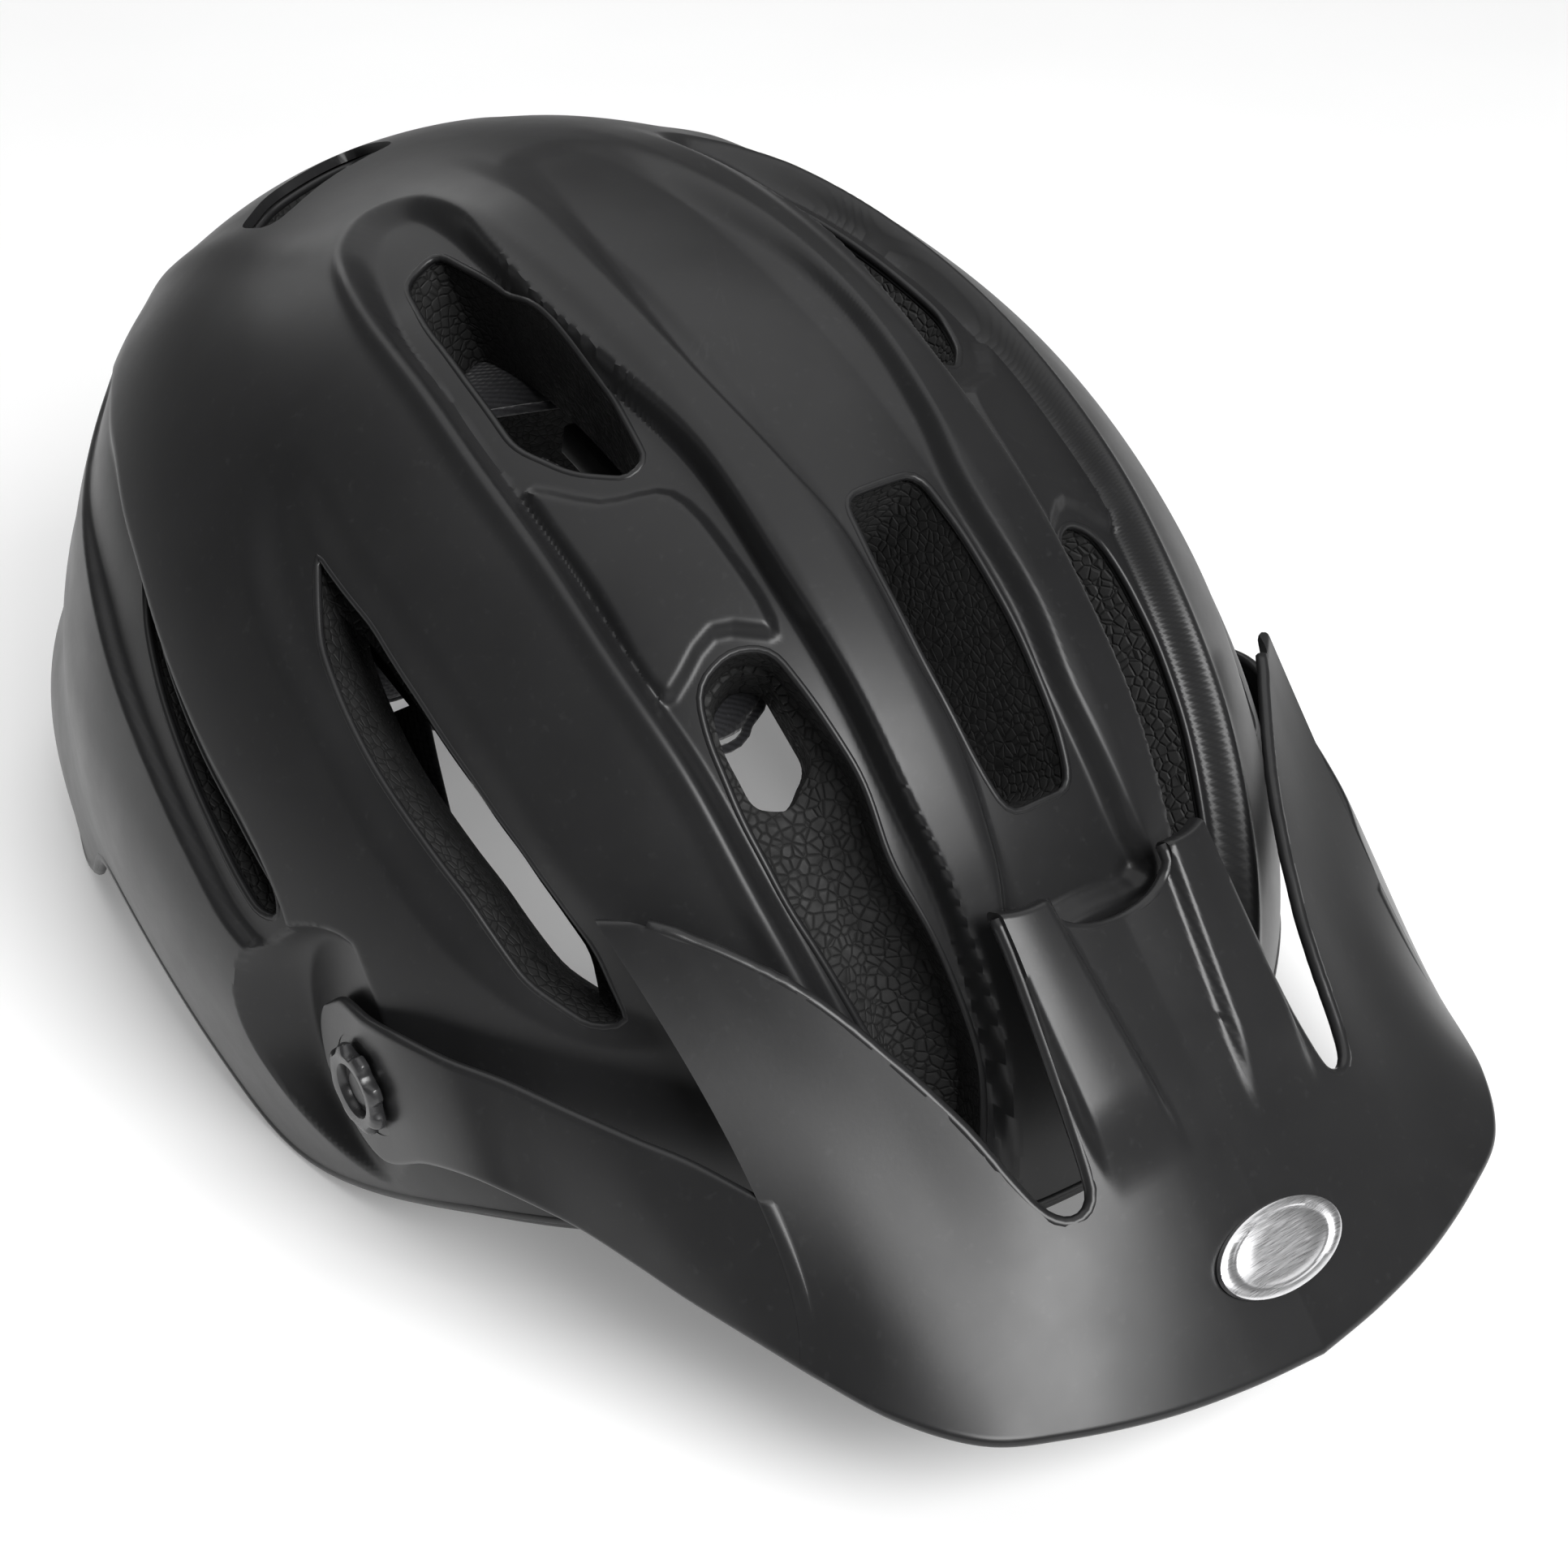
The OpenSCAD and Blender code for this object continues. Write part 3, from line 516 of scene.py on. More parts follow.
def plan_r(az, z, w, l, wn, q):
    n = 2 + 0.8 * sst(q, -35, z) * sst(80, 118, fold(az))
    ww = w * (1 - wn * sst(30, -40, z))
    s, c = np.abs(np.sin(np.radians(az))), np.abs(np.cos(np.radians(az)))
    return ((s / ww) ** n + (c / l) ** n) ** (-1 / n)


def skin(az, tt, w, l, h, wn, q):
    az, tt = np.broadcast_arrays(np.asarray(az, float), np.asarray(tt, float))
    up = tt <= 90
    z = np.where(up, h * np.cos(np.radians(tt)), -DEEP * np.sin(np.radians(tt - 90)))
    rho = np.where(up, np.sin(np.radians(tt)), np.cos(np.radians(tt - 90)))
    r = rho * plan_r(az, z, w, l, wn, q)
    return np.stack([r * np.sin(np.radians(az)), -r * np.cos(np.radians(az)), z], -1)


def away(P, w=HW, l=HL, h=RISE):
    P = np.asarray(P, float)
    hh = np.where(P[..., 2] > 0, h * h, DEEP * DEEP)
    n = np.stack([P[..., 0] / w**2, P[..., 1] / l**2, P[..., 2] / hh], -1)
    return n / (np.linalg.norm(n, axis=-1, keepdims=True) + 1e-12)


def seat(P, d):
    r = np.hypot(P[..., 1] - PIVOT[0], P[..., 2] - PIVOT[1])
    lim = FLATX + d + 30 * sst(24, 42, r)
    Q = P.copy()
    Q[..., 0] = np.where(np.abs(P[..., 0]) > lim, np.sign(P[..., 0]) * lim, P[..., 0])
    return Q


def inner(az, tt, d):
    return skin(az, tt, CAVW - d, CAVL - d, CAVH - d, 0.02, 45)


def t_of(z, h):
    z = np.asarray(z, float)
    return np.where(z >= 0, np.degrees(np.arccos(np.clip(z / h, -1, 1))), 90 + np.degrees(np.arcsin(np.clip(-z / DEEP, -1, 1))))


# Vent outlines on one side of the shell, and the shapes sculpted between them
VENT_MID = [[-8, -48], [8, -48], [9.5, -60], [10, -76], [9, -92], [7, -100], [-7, -100], [-9, -92], [-10, -76], [-9.5, -60]]
VENT_FRONT = [[31, -63], [37, -59.5], [44, -61], [46, -68], [46.5, -80], [45, -93], [41, -107], [37, -119], [32, -128], [25, -131], [22, -124], [25, -108], [28, -97], [27, -86], [29, -73]]
VENT_TOP = [[31, 43], [40, 40], [43.5, 26], [45.5, 9], [47, -9], [42.5, -20], [36, -26.5], [31.5, -25.5], [29, -10], [29, 10], [29.5, 28]]
VENT_REAR = [[11, 86], [28, 82], [43, 75], [43, 86], [32, 97], [11, 103]]
VENT_SIDE = [[2, 84], [-17, 83], [-33, 79.5], [-47, 75.5], [-60, 71], [-69, 67], [-78, 62.5], [-88, 54], [-84, 51.5], [-73, 53.5], [-58, 60.5], [-46, 64.5], [-33, 68.5], [-21, 72.5], [-11, 76], [-3, 81]]
VENT_SLIT = [[38, 57], [32, 56.5], [18, 53], [0, 49], [-14, 46], [-28, 41.5], [-31, 37], [-26, 34.5], [-19, 36.5], [-9, 40], [4, 44], [18, 48], [30, 52]]
VENT_NAPE = [[16, 34], [40, 28], [52, 12], [50, 0], [30, 6], [16, 10]]

# the long recess on each side of the crown that holds the upper and front vents (x, y)
LANE = catmull([[25, 44], [26.5, 55], [34, 58], [41, 52], [45, 42], [48.5, 27], [50.5, 8], [52, -12], [52, -34], [51.5, -52], [49.5, -70],
                [47.5, -90], [43, -110], [37, -126], [31, -138], [22, -138], [20.5, -124], [22, -104], [23.5, -90], [24, -74], [25, -55], [25, -31], [27.5, -10], [29, 10], [27, 30]], 5, True)
# the raised floor between the upper vent and the front vent
PANEL = catmull([[50, -17], [41, -27], [31, -33], [28.5, -48], [29, -62], [38, -57], [49.5, -60], [50.5, -40]], 4, True)
# the shallow channel down the middle
CHAN = catmull([[0, 56], [9, 52], [14, 30], [17, 5], [17.3, -18], [15, -39], [12.3, -54], [12.6, -74], [11.5, -87], [13, -103], [14, -112], [0, -113],
                [-14, -112], [-13, -103], [-11.5, -87], [-12.6, -74], [-12.3, -54], [-15, -39], [-17.3, -18], [-17, 5], [-14, 30], [-9, 52]], 4, True)
# band behind the crest that runs over the slit (y, z)
BAND_BACK = catmull([[69, 60], [60, 60.5], [48, 59.5], [36, 58.5], [21, 56], [0, 52], [-19, 47.5], [-32, 41], [-36, 35], [-31, 30], [-22, 30], [-8, 34.5], [10, 39], [30, 42], [52, 44], [80, 44], [96, 50], [86, 58]], 4, True)
# valley below the side vent (y, z)
VALLEY = catmull([[26, 84], [13, 76.5], [-4, 71.5], [-22, 67.5], [-36, 62.5], [-50, 57], [-66, 52], [-84, 50], [-96, 56], [-84, 64.5], [-66, 72], [-48, 80], [-26, 86], [0, 89], [16, 90]], 4, True)


def relief(P):
    """How far the sculpted skin stands above the plain ellipsoid family."""
    sh = P.shape[:-1]
    Q = P.reshape(-1, 3)
    ax, y, z = np.abs(Q[:, 0]), Q[:, 1], Q[:, 2]
    top = sst(18, 50, z)
    out = np.zeros(len(Q))
    m = top > 0
    X = np.stack([ax[m], y[m]], 1)
    lane = sdf(LANE, X)
    # walls: crisp on the outside, a little softer inside, and fading towards the rear
    soft = 1.5 + 2.5 * sst(20, 60, y[m])
    a = -5.0 * sst(-0.4, 1.0, lane / soft) * (1 - 0.55 * sst(34, 60, y[m]))
    # the outer ridge's crest is crisp, with a slight lip
    out_lip = 0.9 * np.exp(-((lane + 1.5) / 1.5) ** 2) * (ax[m] > 30) * sst(60, 40, y[m])
    panel = 1.6 * sst(-0.6, 2.2, sdf(PANEL, X))
    ch = sdf(CHAN, np.stack([Q[m, 0], y[m]], 1))
    csoft = 1.7 + 3.5 * sst(-20, 40, y[m])
    c = -3.3 * sst(-0.5, 1.0, ch / csoft) * (1 - 0.75 * sst(10, 52, y[m]))
    ridge = 0.9 * sst(10, 16, ax[m]) * (1 - sst(22, 27, ax[m])) * sst(-125, -100, y[m]) * (1 - sst(30, 70, y[m]))
    out[m] = top[m] * (a + np.where(a < -2, panel, 0) + c + ridge + out_lip)
    # sides
    s = (ax > 62) & (z < 100)
    if s.any():
        Y = np.stack([y[s], z[s]], 1)
        bb = sdf(BAND_BACK, Y)
        v = sdf(VALLEY, Y)
        k = sst(62, 72, ax[s])
        out[s] += k * (-2.4 * sst(-0.5, 2.0, bb) * (1 - 0.6 * sst(40, 80, y[s])))
        out[s] += k * (-1.9 * sst(-1.0, 6.0, v) * sst(30, 5, y[s]))
    # a crease that falls from behind the recess towards the nape
    w = (y > 30) & (z > 10)
    if w.any():
        line = ax[w] - (44 + 0.10 * (y[w] - 50))
        out[w] += 0.7 * np.exp(-(line / 5.0) ** 2) * sst(46, 66, y[w]) * sst(20, 40, z[w])
    return out.reshape(sh)


def full(az, z):
    return 1 + sst(100, 145, fold(az)) * (0.034 * sst(40, 62, z) * (1 - sst(88, 110, z)) - 0.017 * sst(-25, 0, z) * (1 - sst(28, 45, z)))


def outer(az, tt, d):
    P = skin(az, tt, HW, HL, RISE, 0.09, 12)
    k = full(np.broadcast_to(az, P.shape[:-1]), P[..., 2])
    P = P * np.stack([k, k, np.ones_like(k)], -1)
    return seat(P + away(P) * (relief(P) + d)[..., None], d)


def dome(name, fo, fi, tro, tri, na, nt, hi=1, edge=0.0):
    """A closed dome between an outer and an inner surface: az columns, rim distances tro and tri in degrees."""
    az = np.arange(na) * 360.0 / na
    to, ti = tro(az), tri(az)
    f = (np.arange(1, nt + 1) / nt) ** 0.96
    AZ = np.broadcast_to(az, (nt, na))
    O = fo(AZ, f[:, None] * to[None, :])
    ni = max(8, nt // hi)
    fi_ = (np.arange(1, ni + 1) / ni) ** 0.96
    I = fi(np.broadcast_to(az, (ni, na)), fi_[:, None] * ti[None, :])
    po, pi = fo(np.array([0.0]), np.array([0.0]))[0], fi(np.array([0.0]), np.array([0.0]))[0]
    if edge:
        # a rolled rim: the last rows pull in towards the wall's middle
        mid = (O[-1] + I[-1]) / 2
        dirn = (O[-1] - I[-1])
        th = np.linalg.norm(dirn, axis=-1, keepdims=True)
        down = O[-1] - O[-2]
        down /= np.linalg.norm(down, axis=-1, keepdims=True) + 1e-9
        arc = []
        for k in range(1, 6):
            a = math.pi * k / 6
            arc.append(mid + dirn / 2 * math.cos(a) + down * (th / 2) * math.sin(a))
        arc = np.array(arc)
    else:
        arc = np.zeros((0, na, 3))
    ring = np.concatenate([O, arc, I[::-1]], 0)
    nr = len(ring)
    V = np.vstack([[po], [pi], ring.reshape(-1, 3)])
    F = []
    g = lambda i, j: 2 + i * na + j % na
    for j in range(na):
        F.append((0, g(0, j), g(0, j + 1)))
        F.append((1, g(nr - 1, j + 1), g(nr - 1, j)))
    for i in range(nr - 1):
        for j in range(na):
            F.append((g(i, j), g(i + 1, j), g(i + 1, j + 1), g(i, j + 1)))
    return make(name, V, F)


def on_top(q, depth=0.0):
    q = np.asarray(q, float)
    z = RISE * np.sqrt(np.clip(1 - (q[:, 0] / HW) ** 2 - (q[:, 1] / HL) ** 2, 0, 1))
    return np.stack([q[:, 0], q[:, 1], z], 1)


def on_side(q):
    q = np.asarray(q, float)
    return np.stack([HW * np.sqrt(np.clip(1 - (q[:, 0] / HL) ** 2 - (q[:, 1] / RISE) ** 2, 0, 1)), q[:, 0], q[:, 1]], 1)


def on_rear(q):
    q = np.asarray(q, float)
    return np.stack([q[:, 0], HL * np.sqrt(np.clip(1 - (q[:, 0] / HW) ** 2 - (q[:, 1] / RISE) ** 2, 0, 1)), q[:, 1]], 1)


def outlines(step=1.6, grow=0.0):
    """Every vent's outline on the ellipsoid, on both sides, with its name."""
    out = []
    for name, poly, f, r, both in (("mid", VENT_MID, on_top, 3.5, False), ("front", VENT_FRONT, on_top, 3.5, True), ("top", VENT_TOP, on_top, 3.5, True),
                                   ("rear", VENT_REAR, on_top, 4, True), ("side", VENT_SIDE, on_side, 3, True), ("slit", VENT_SLIT, on_side, 3, True), ("nape", VENT_NAPE, on_rear, 5, True)):
        P = resample(round_poly(poly, r, 6), step)
        if grow:
            c = P.mean(0)
            T = np.roll(P, -1, 0) - np.roll(P, 1, 0)
            N = np.stack([T[:, 1], -T[:, 0]], 1)
            N /= np.linalg.norm(N, axis=1)[:, None] + 1e-9
            if ((P - c) * N).sum() < 0:
                N = -N
            P = P + N * grow
        Q = f(P)
        for s in ((1, -1) if both else (1,)):
            out.append((name + ("" if s > 0 else "_r"), Q * [s, 1, 1]))
    return out


def cutter(P, up=9.0, down=40.0, taper=0.0):
    n = len(P)
    c = P.mean(0)
    w = 0.0
    for i in range(n):
        w += np.dot(np.cross(P[i] - c, P[(i + 1) % n] - c), c)
    if w < 0:
        P = P[::-1]
    A = away(P)
    U = P + A * up
    D = P - A * down
    if taper:
        D = D + (c - P) * taper
    V = np.vstack([U, D, [U.mean(0)], [D.mean(0)]])
    F = []
    for i in range(n):
        j = (i + 1) % n
        F += [(i, n + i, n + j, j), (2 * n, i, j), (2 * n + 1, n + j, n + i)]
    return make("cutter", V, F, smooth=False)


def rod(s, r, x0, x1, at=PIVOT, seg=48):
    """A round bar along x."""
    V, F = [], []
    for x in (x0, x1):
        for k in range(seg):
            a = 2 * math.pi * k / seg
            V.append((s * x, at[0] + r * math.cos(a), at[1] + r * math.sin(a)))
    F.append(tuple(range(seg)))
    F.append(tuple(range(2 * seg - 1, seg - 1, -1)))
    for k in range(seg):
        l = (k + 1) % seg
        F.append((k, seg + k, seg + l, l))
    if s > 0:
        F = [f[::-1] for f in F]
    return make("rod", V, F, smooth=False)


NA, NT = ((1000, 280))
shell = dome("helmet_shell", lambda a, t: outer(a, t, 0.0), lambda a, t: outer(a, t, -SKIN),
             lambda az: t_of(rim_z(az) + 1.0, RISE), lambda az: t_of(rim_z(az) + 1.0, RISE), NA, NT, 1, edge=1.0)
boolean(shell, [cutter(P) for _, P in outlines()] + [rod(s, 6.4, 60, 120) for s in (1, -1)])
shell.data.materials.clear()
shell.data.materials.append(SHELL)
sharpen(shell, 50)

liner = dome("helmet_foam_liner", lambda a, t: outer(a, t, -SKIN - 0.3), lambda a, t: inner(a, t, 0.0),
             lambda az: t_of(rim_z(az) + 2.6, RISE), lambda az: t_of(rim_z(az) + 3 + 6 * sst(100, 140, fold(az)), CAVH), NA // 2, NT // 2, 1)
channels = []
for name, P in outlines(2.2, -3.0):
    if name.startswith("side"):
        # these vents sweep back and down through the foam
        s = 1 if name.endswith("_r") else -1
        c = cutter(P)
        n_ = len(P)
        co = np.array([v.co for v in c.data.vertices])
        k = (P if np.allclose(co[0], stand(P[0] + away(P[:1])[0] * 9.0), atol=1e-6) else P[::-1])
        A_ = away(k)
        dirn = np.array([s * 0.49, 0.42, -0.71])
        far, near = k + dirn * 58 + [0, 0, 1.5], k + A_ * 1.0 + [0, 0, 1.5]
        V2 = stand(np.vstack([near, far, [near.mean(0)], [far.mean(0)]]))
        c.data.vertices.foreach_set("co", V2.reshape(-1).astype(np.float32))
        c.data.update()
        channels.append(c)
# the front vents are blind over the brow, and go right through only at their tops
deep_cut = [cutter(on_top(round_poly(np.array([[31.5, -64], [37, -60.5], [43, -62], [44.5, -70], [44, -80], [38, -84], [30.5, -80]]) * [s, 1], 2.5, 5))) for s in (1, -1)]
boolean(liner, [cutter(P, 9, 15 if n_.startswith("front") else 40) for n_, P in outlines(2.2)] + deep_cut + channels + [rod(s, 6.4, 60, 120) for s in (1, -1)])
liner.data.materials.clear()
liner.data.materials.append(FOAM)
sharpen(liner, 40)


# Beads round the openings and the rim
def surface_on(P, d=0.0):
    """The sculpted skin's points over points of the plain ellipsoid."""
    P = np.asarray(P, float)
    return seat(P + away(P) * (relief(P) + d)[..., None], d)


beads = []
for name, P in outlines(1.6):
    beads.append(tube("bead_" + name, surface_on(P, -0.55), 0.75, LIP, True, 8, away(P)))
az = np.arange(0, 360, 1.0)
R = outer(az, t_of(rim_z(az) + 2.4, RISE), -SKIN / 2)
beads.append(tube("bead_rim", R, 1.25, LIP, True, 10, away(R)))
edge_beads = join("shell_edge_beads", beads)

for o in (shell, liner, edge_beads):
    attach(o, "root")
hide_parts("outer_shell")
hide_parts("eps_liner")

# ---------------------------------------------------------------- visor
VT, RIBH = 2.2, 1.8
BRIM = np.array([
    [[0, -182.5, 37], [0, -149, 57.5], [0, -113, 79]],
    [[14, -181, 37], [11, -149, 57.3], [10, -113, 79.5]],
    [[29, -178, 37], [22, -148, 56], [20, -112, 79.5]],
    [[44, -173, 37], [33, -144, 54.5], [34, -103, 79]],
    [[56, -167, 37], [46, -135, 53], [51, -94, 77]],
    [[65, -156, 36], [57, -128, 51.5], [64, -85, 74]],
    [[71, -142, 34], [67, -121, 50], [71, -79, 72]]], float)
ARM = np.array([
    [[78, -124.5, 33], [76, -117, 42], [72, -111, 50]],
    [[82, -114, 33], [80, -108, 42], [77, -103, 49.5]],
    [[86, -104, 33], [84.5, -97, 41.5], [82, -93, 48]],
    [[90.5, -95, 32.5], [89, -87, 40], [87, -82, 46]],
    [[94, -87, 30.5], [93, -78.5, 37.5], [92, -72, 43.5]],
    [[95.8, -76, 22], [95.6, -69.5, 30.5], [95.4, -63, 41]],
    [[96.5, -65, 9.7], [96.5, -60.5, 23.5], [96.5, -56, 37.9]],
    [[96.5, -54, 8.5], [96.5, -51, 22.5], [96.5, -48.5, 34.7]],
    [[96.5, -46.5, 13.4], [96.5, -43.2, 22], [96.5, -44.6, 29.6]]], float)


def quad(s, v):
    m = 2 * s[1] - (s[0] + s[2]) / 2
    v = np.asarray(v)[:, None]
    return s[0] * (1 - v) ** 2 + m * 2 * v * (1 - v) + s[2] * v * v


def between(S, u):
    i = int(min(len(S) - 2, math.floor(u)))
    f = u - i
    a, b, c, d = S[max(0, i - 1)], S[i], S[i + 1], S[min(len(S) - 1, i + 2)]
    return b + 0.5 * f * (c - a + f * (2 * a - 5 * b + 4 * c - d + f * (3 * (b - c) + d - a)))


def edge_steps(n, first, k=5):
    """Steps from 0 to 1 that crowd near both ends, so that an edge can be rounded."""
    e = np.array([0, 0.12, 0.3, 0.55, 0.8, 1.0]) * first
    return np.unique(np.round(np.r_[e, np.linspace(first, 1 - first, n), 1 - e], 7))


def stations(S, per, vs, side):
    out = []
    n = per * (len(S) - 1)
    for i in range(n + 1):
        st = between(S, i / per)
        P = quad(st, vs)
        out.append(P if side > 0 else P * [-1, 1, 1])
    return np.array(out)


def normals(G):
    du = np.zeros_like(G)
    du[1:-1] = G[2:] - G[:-2]
    du[0], du[-1] = G[1] - G[0], G[-1] - G[-2]
    dv = np.zeros_like(G)
    dv[:, 1:-1] = G[:, 2:] - G[:, :-2]
    dv[:, 0], dv[:, -1] = G[:, 1] - G[:, 0], G[:, -1] - G[:, -2]
    N = np.cross(dv, du)
    return N / (np.linalg.norm(N, axis=-1, keepdims=True) + 1e-9)


def plate(name, G, t, lift=None, sink=0.0, ends=False):
    """A moulded plate under a grid, with rounded long edges."""
    nu, nv = G.shape[0], G.shape[1]
    N = normals(G)
    # distance from each point to the nearest long edge, along v
    seg = np.linalg.norm(np.diff(G, axis=1), axis=-1)
    s = np.concatenate([np.zeros((nu, 1)), np.cumsum(seg, 1)], 1)
    e = np.minimum(s, s[:, -1:] - s)
    if ends:
        segu = np.linalg.norm(np.diff(G, axis=0), axis=-1)
        su = np.concatenate([np.zeros((1, nv)), np.cumsum(segu, 0)], 0)
        e = np.minimum(e, su[-1:] - su)
    r = t * 0.55
    th = np.clip(np.sqrt(np.clip(1 - (1 - np.clip(e / r, 0, 1)) ** 2, 0, 1)), 0.08, 1)
    h = lift(G) if lift is not None else 0 * e
    mid = -t / 2
    top = G + N * (mid + (t / 2 - sink) * th + h * th)[..., None]
    bot = G + N * (mid - (t / 2 - sink) * th)[..., None]
    V = np.vstack([top.reshape(-1, 3), bot.reshape(-1, 3)])
    n = nu * nv
    F = []
    for i in range(nu - 1):
        for j in range(nv - 1):
            a = i * nv + j
            b = a + nv
            F.append((a, b, b + 1, a + 1))
            F.append((n + a, n + a + 1, n + b + 1, n + b))
    for i in range(nu - 1):
        a = i * nv
        F.append((a, n + a, n + a + nv, a + nv))
        a = i * nv + nv - 1
        F.append((a, a + nv, n + a + nv, n + a))
    for j in range(nv - 1):
        F.append((j, j + 1, n + j + 1, n + j))
        a = (nu - 1) * nv + j
        F.append((a, n + a, n + a + 1, a + 1))
    ob = make(name, V, F)
    return ob


def rib_lift(P):
    ax, y = np.abs(P[..., 0]), P[..., 1]
    xi = 12 + (y + 115) * 0.13
    rib = RIBH * sst(xi - 0.9, xi + 0.9, ax) * (1 - sst(20.6, 22.6, ax)) * sst(-152, -139, y)
    return rib


vs = edge_steps(66, 0.022)
per = 16
right_half = stations(BRIM, per, vs, -1)
left_half = stations(BRIM, per, vs, 1)
GB = np.concatenate([left_half[::-1], right_half[1:]], 0)
brim = plate("brim", GB, VT, rib_lift)


def root(u):
    st = between(BRIM, u)
    return quad(st, np.array([0.0, 0.25, 0.5]))


ARMS = np.concatenate([[root(5.7), root(6)], ARM], 0)
va = edge_steps(30, 0.05)
pa = 12
arm_l = plate("arm_l", stations(ARMS, pa, va, 1)[::-1], VT, None, 0.06)
arm_r = plate("arm_r", stations(ARMS, pa, va, -1), VT, None, 0.06)
for o in (brim, arm_l, arm_r):
    bm = bmesh.new()
    bm.from_mesh(o.data)
    bmesh.ops.recalc_face_normals(bm, faces=bm.faces)
    bm.to_mesh(o.data)
    bm.free()
boolean(brim, [arm_l, arm_r], "UNION")
visor = brim
visor.name = visor.data.name = "peak_visor"


def prism(P, z0, z1):
    P = np.asarray(P, float)
    area = 0.5 * np.sum(P[:, 0] * np.roll(P[:, 1], -1) - np.roll(P[:, 0], -1) * P[:, 1])
    if area < 0:
        P = P[::-1]
    n = len(P)
    V = np.vstack([np.c_[P, np.full(n, z0)], np.c_[P, np.full(n, z1)]])
    c = P.mean(0)
    V = np.vstack([V, [[c[0], c[1], z0]], [[c[0], c[1], z1]]])
    F = []
    for i in range(n):
        j = (i + 1) % n
        F += [(i, j, n + j, n + i), (2 * n + 1, n + i, n + j), (2 * n, j, i)]
    return make("prism", V, F, smooth=False)


OPEN = [[21, -90], [21, -120], [23.5, -147], [26, -151], [31, -150], [34, -145], [37.5, -131], [43, -118], [49, -106], [57, -95], [66, -84], [74, -72], [60, -60]]
NOTCH = [[-12.5, -100], [12.5, -100], [12.5, -117], [6, -120], [-6, -120], [-12.5, -117]]
cuts = [prism(round_poly(OPEN, 3.5, 6), 20, 110), prism(round_poly(np.array(OPEN) * [-1, 1], 3.5, 6), 20, 110), prism(round_poly(NOTCH, 2.5, 5), 50, 110)]
for s in (1, -1):
    cuts.append(rod(s, 4.05, 60, 120))
    cuts.append(rod(s, 16, 80, 94.45))
    cuts.append(rod(s, 9, 96.3, 101))
boolean(visor, cuts)
visor.data.materials.clear()
visor.data.materials.append(VISOR)
sharpen(visor, 42)

# rolled lips round the two openings and the notch
flatG = GB.reshape(-1, 3)
flatN = normals(GB).reshape(-1, 3)
flatH = rib_lift(GB).reshape(-1)


def on_visor(xy, d):
    out = []
    for x, y in xy:
        D = (flatG[:, 0] - x) ** 2 + (flatG[:, 1] - y) ** 2
        k = np.argpartition(D, 6)[:6]
        w = 1 / (D[k] + 0.05)
        w /= w.sum()
        p = (flatG[k] * w[:, None]).sum(0)
        nn = (flatN[k] * w[:, None]).sum(0)
        nn /= np.linalg.norm(nn)
        p = np.array([x, y, p[2]]) + nn * (d + (flatH[k] * w).sum() * 0.6)
        out.append(p)
    return np.array(out)


lips = []
for s in (1, -1):
    path = round_poly(OPEN, 3.5, 6)
    lo = np.array([[21, -112.5], [21, -120], [23.5, -147], [26, -151], [31, -150], [34, -145], [37.5, -131], [43, -118], [49, -106], [57, -95], [65.5, -84.6]], float)
    p = resample(chaikin(lo, 2, False), 1.5, False) * [s, 1]
    Q = on_visor(p, -VT / 2)
    lips.append(tube("lip", Q, 1.18, VISOR, False, 10))
P = np.array([[-12.5, -113.5], [-12.3, -117], [-6, -120], [6, -120], [12.3, -117], [12.5, -113.5]], float)
lips.append(tube("lip", on_visor(resample(chaikin(P, 2, False), 1.2, False), -VT / 2), 1.15, VISOR, False, 10))
lip = join("peak_visor_lips", lips)

# ---------------------------------------------------------------- the thumbscrews and the oval badge
def turned(name, prof, mat, seg=64, lobes=0, depth=0.0, place=None):
    """A turned piece about z from a profile of (radius, height), with optional scallops where the radius is large."""
    V, F = [], []
    n = len(prof)
    rmax = max(p[0] for p in prof)
    for k in range(seg):
        a = 2 * math.pi * k / seg
        for r, z in prof:
            q = r
            if lobes and r > rmax * 0.8:
                q = r - depth * sst(0.15, 0.95, 0.5 + 0.5 * math.cos(lobes * a)) * ((r - rmax * 0.8) / (rmax * 0.2))
            V.append((q * math.cos(a), q * math.sin(a), z))
    for k in range(seg):
        l = (k + 1) % seg
        for i in range(n - 1):
            F.append((k * n + i, l * n + i, l * n + i + 1, k * n + i + 1))
    V = np.array(V)
    if place is not None:
        V = place(V)
    ob = make(name, V, F, mat)
    tidy(ob, 0.000005)
    bm = bmesh.new()
    bm.from_mesh(ob.data)
    bmesh.ops.recalc_face_normals(bm, faces=bm.faces)
    bm.to_mesh(ob.data)
    bm.free()
    return ob


def at_pivot(s, roll=0.0):
    def f(V):
        x, y, z = V[:, 0], V[:, 1], V[:, 2]
        c, n = math.cos(roll), math.sin(roll)
        X, Y = x * c - y * n, x * n + y * c
        return np.stack([s * z, PIVOT[0] + Y, PIVOT[1] + X], 1)
    return f


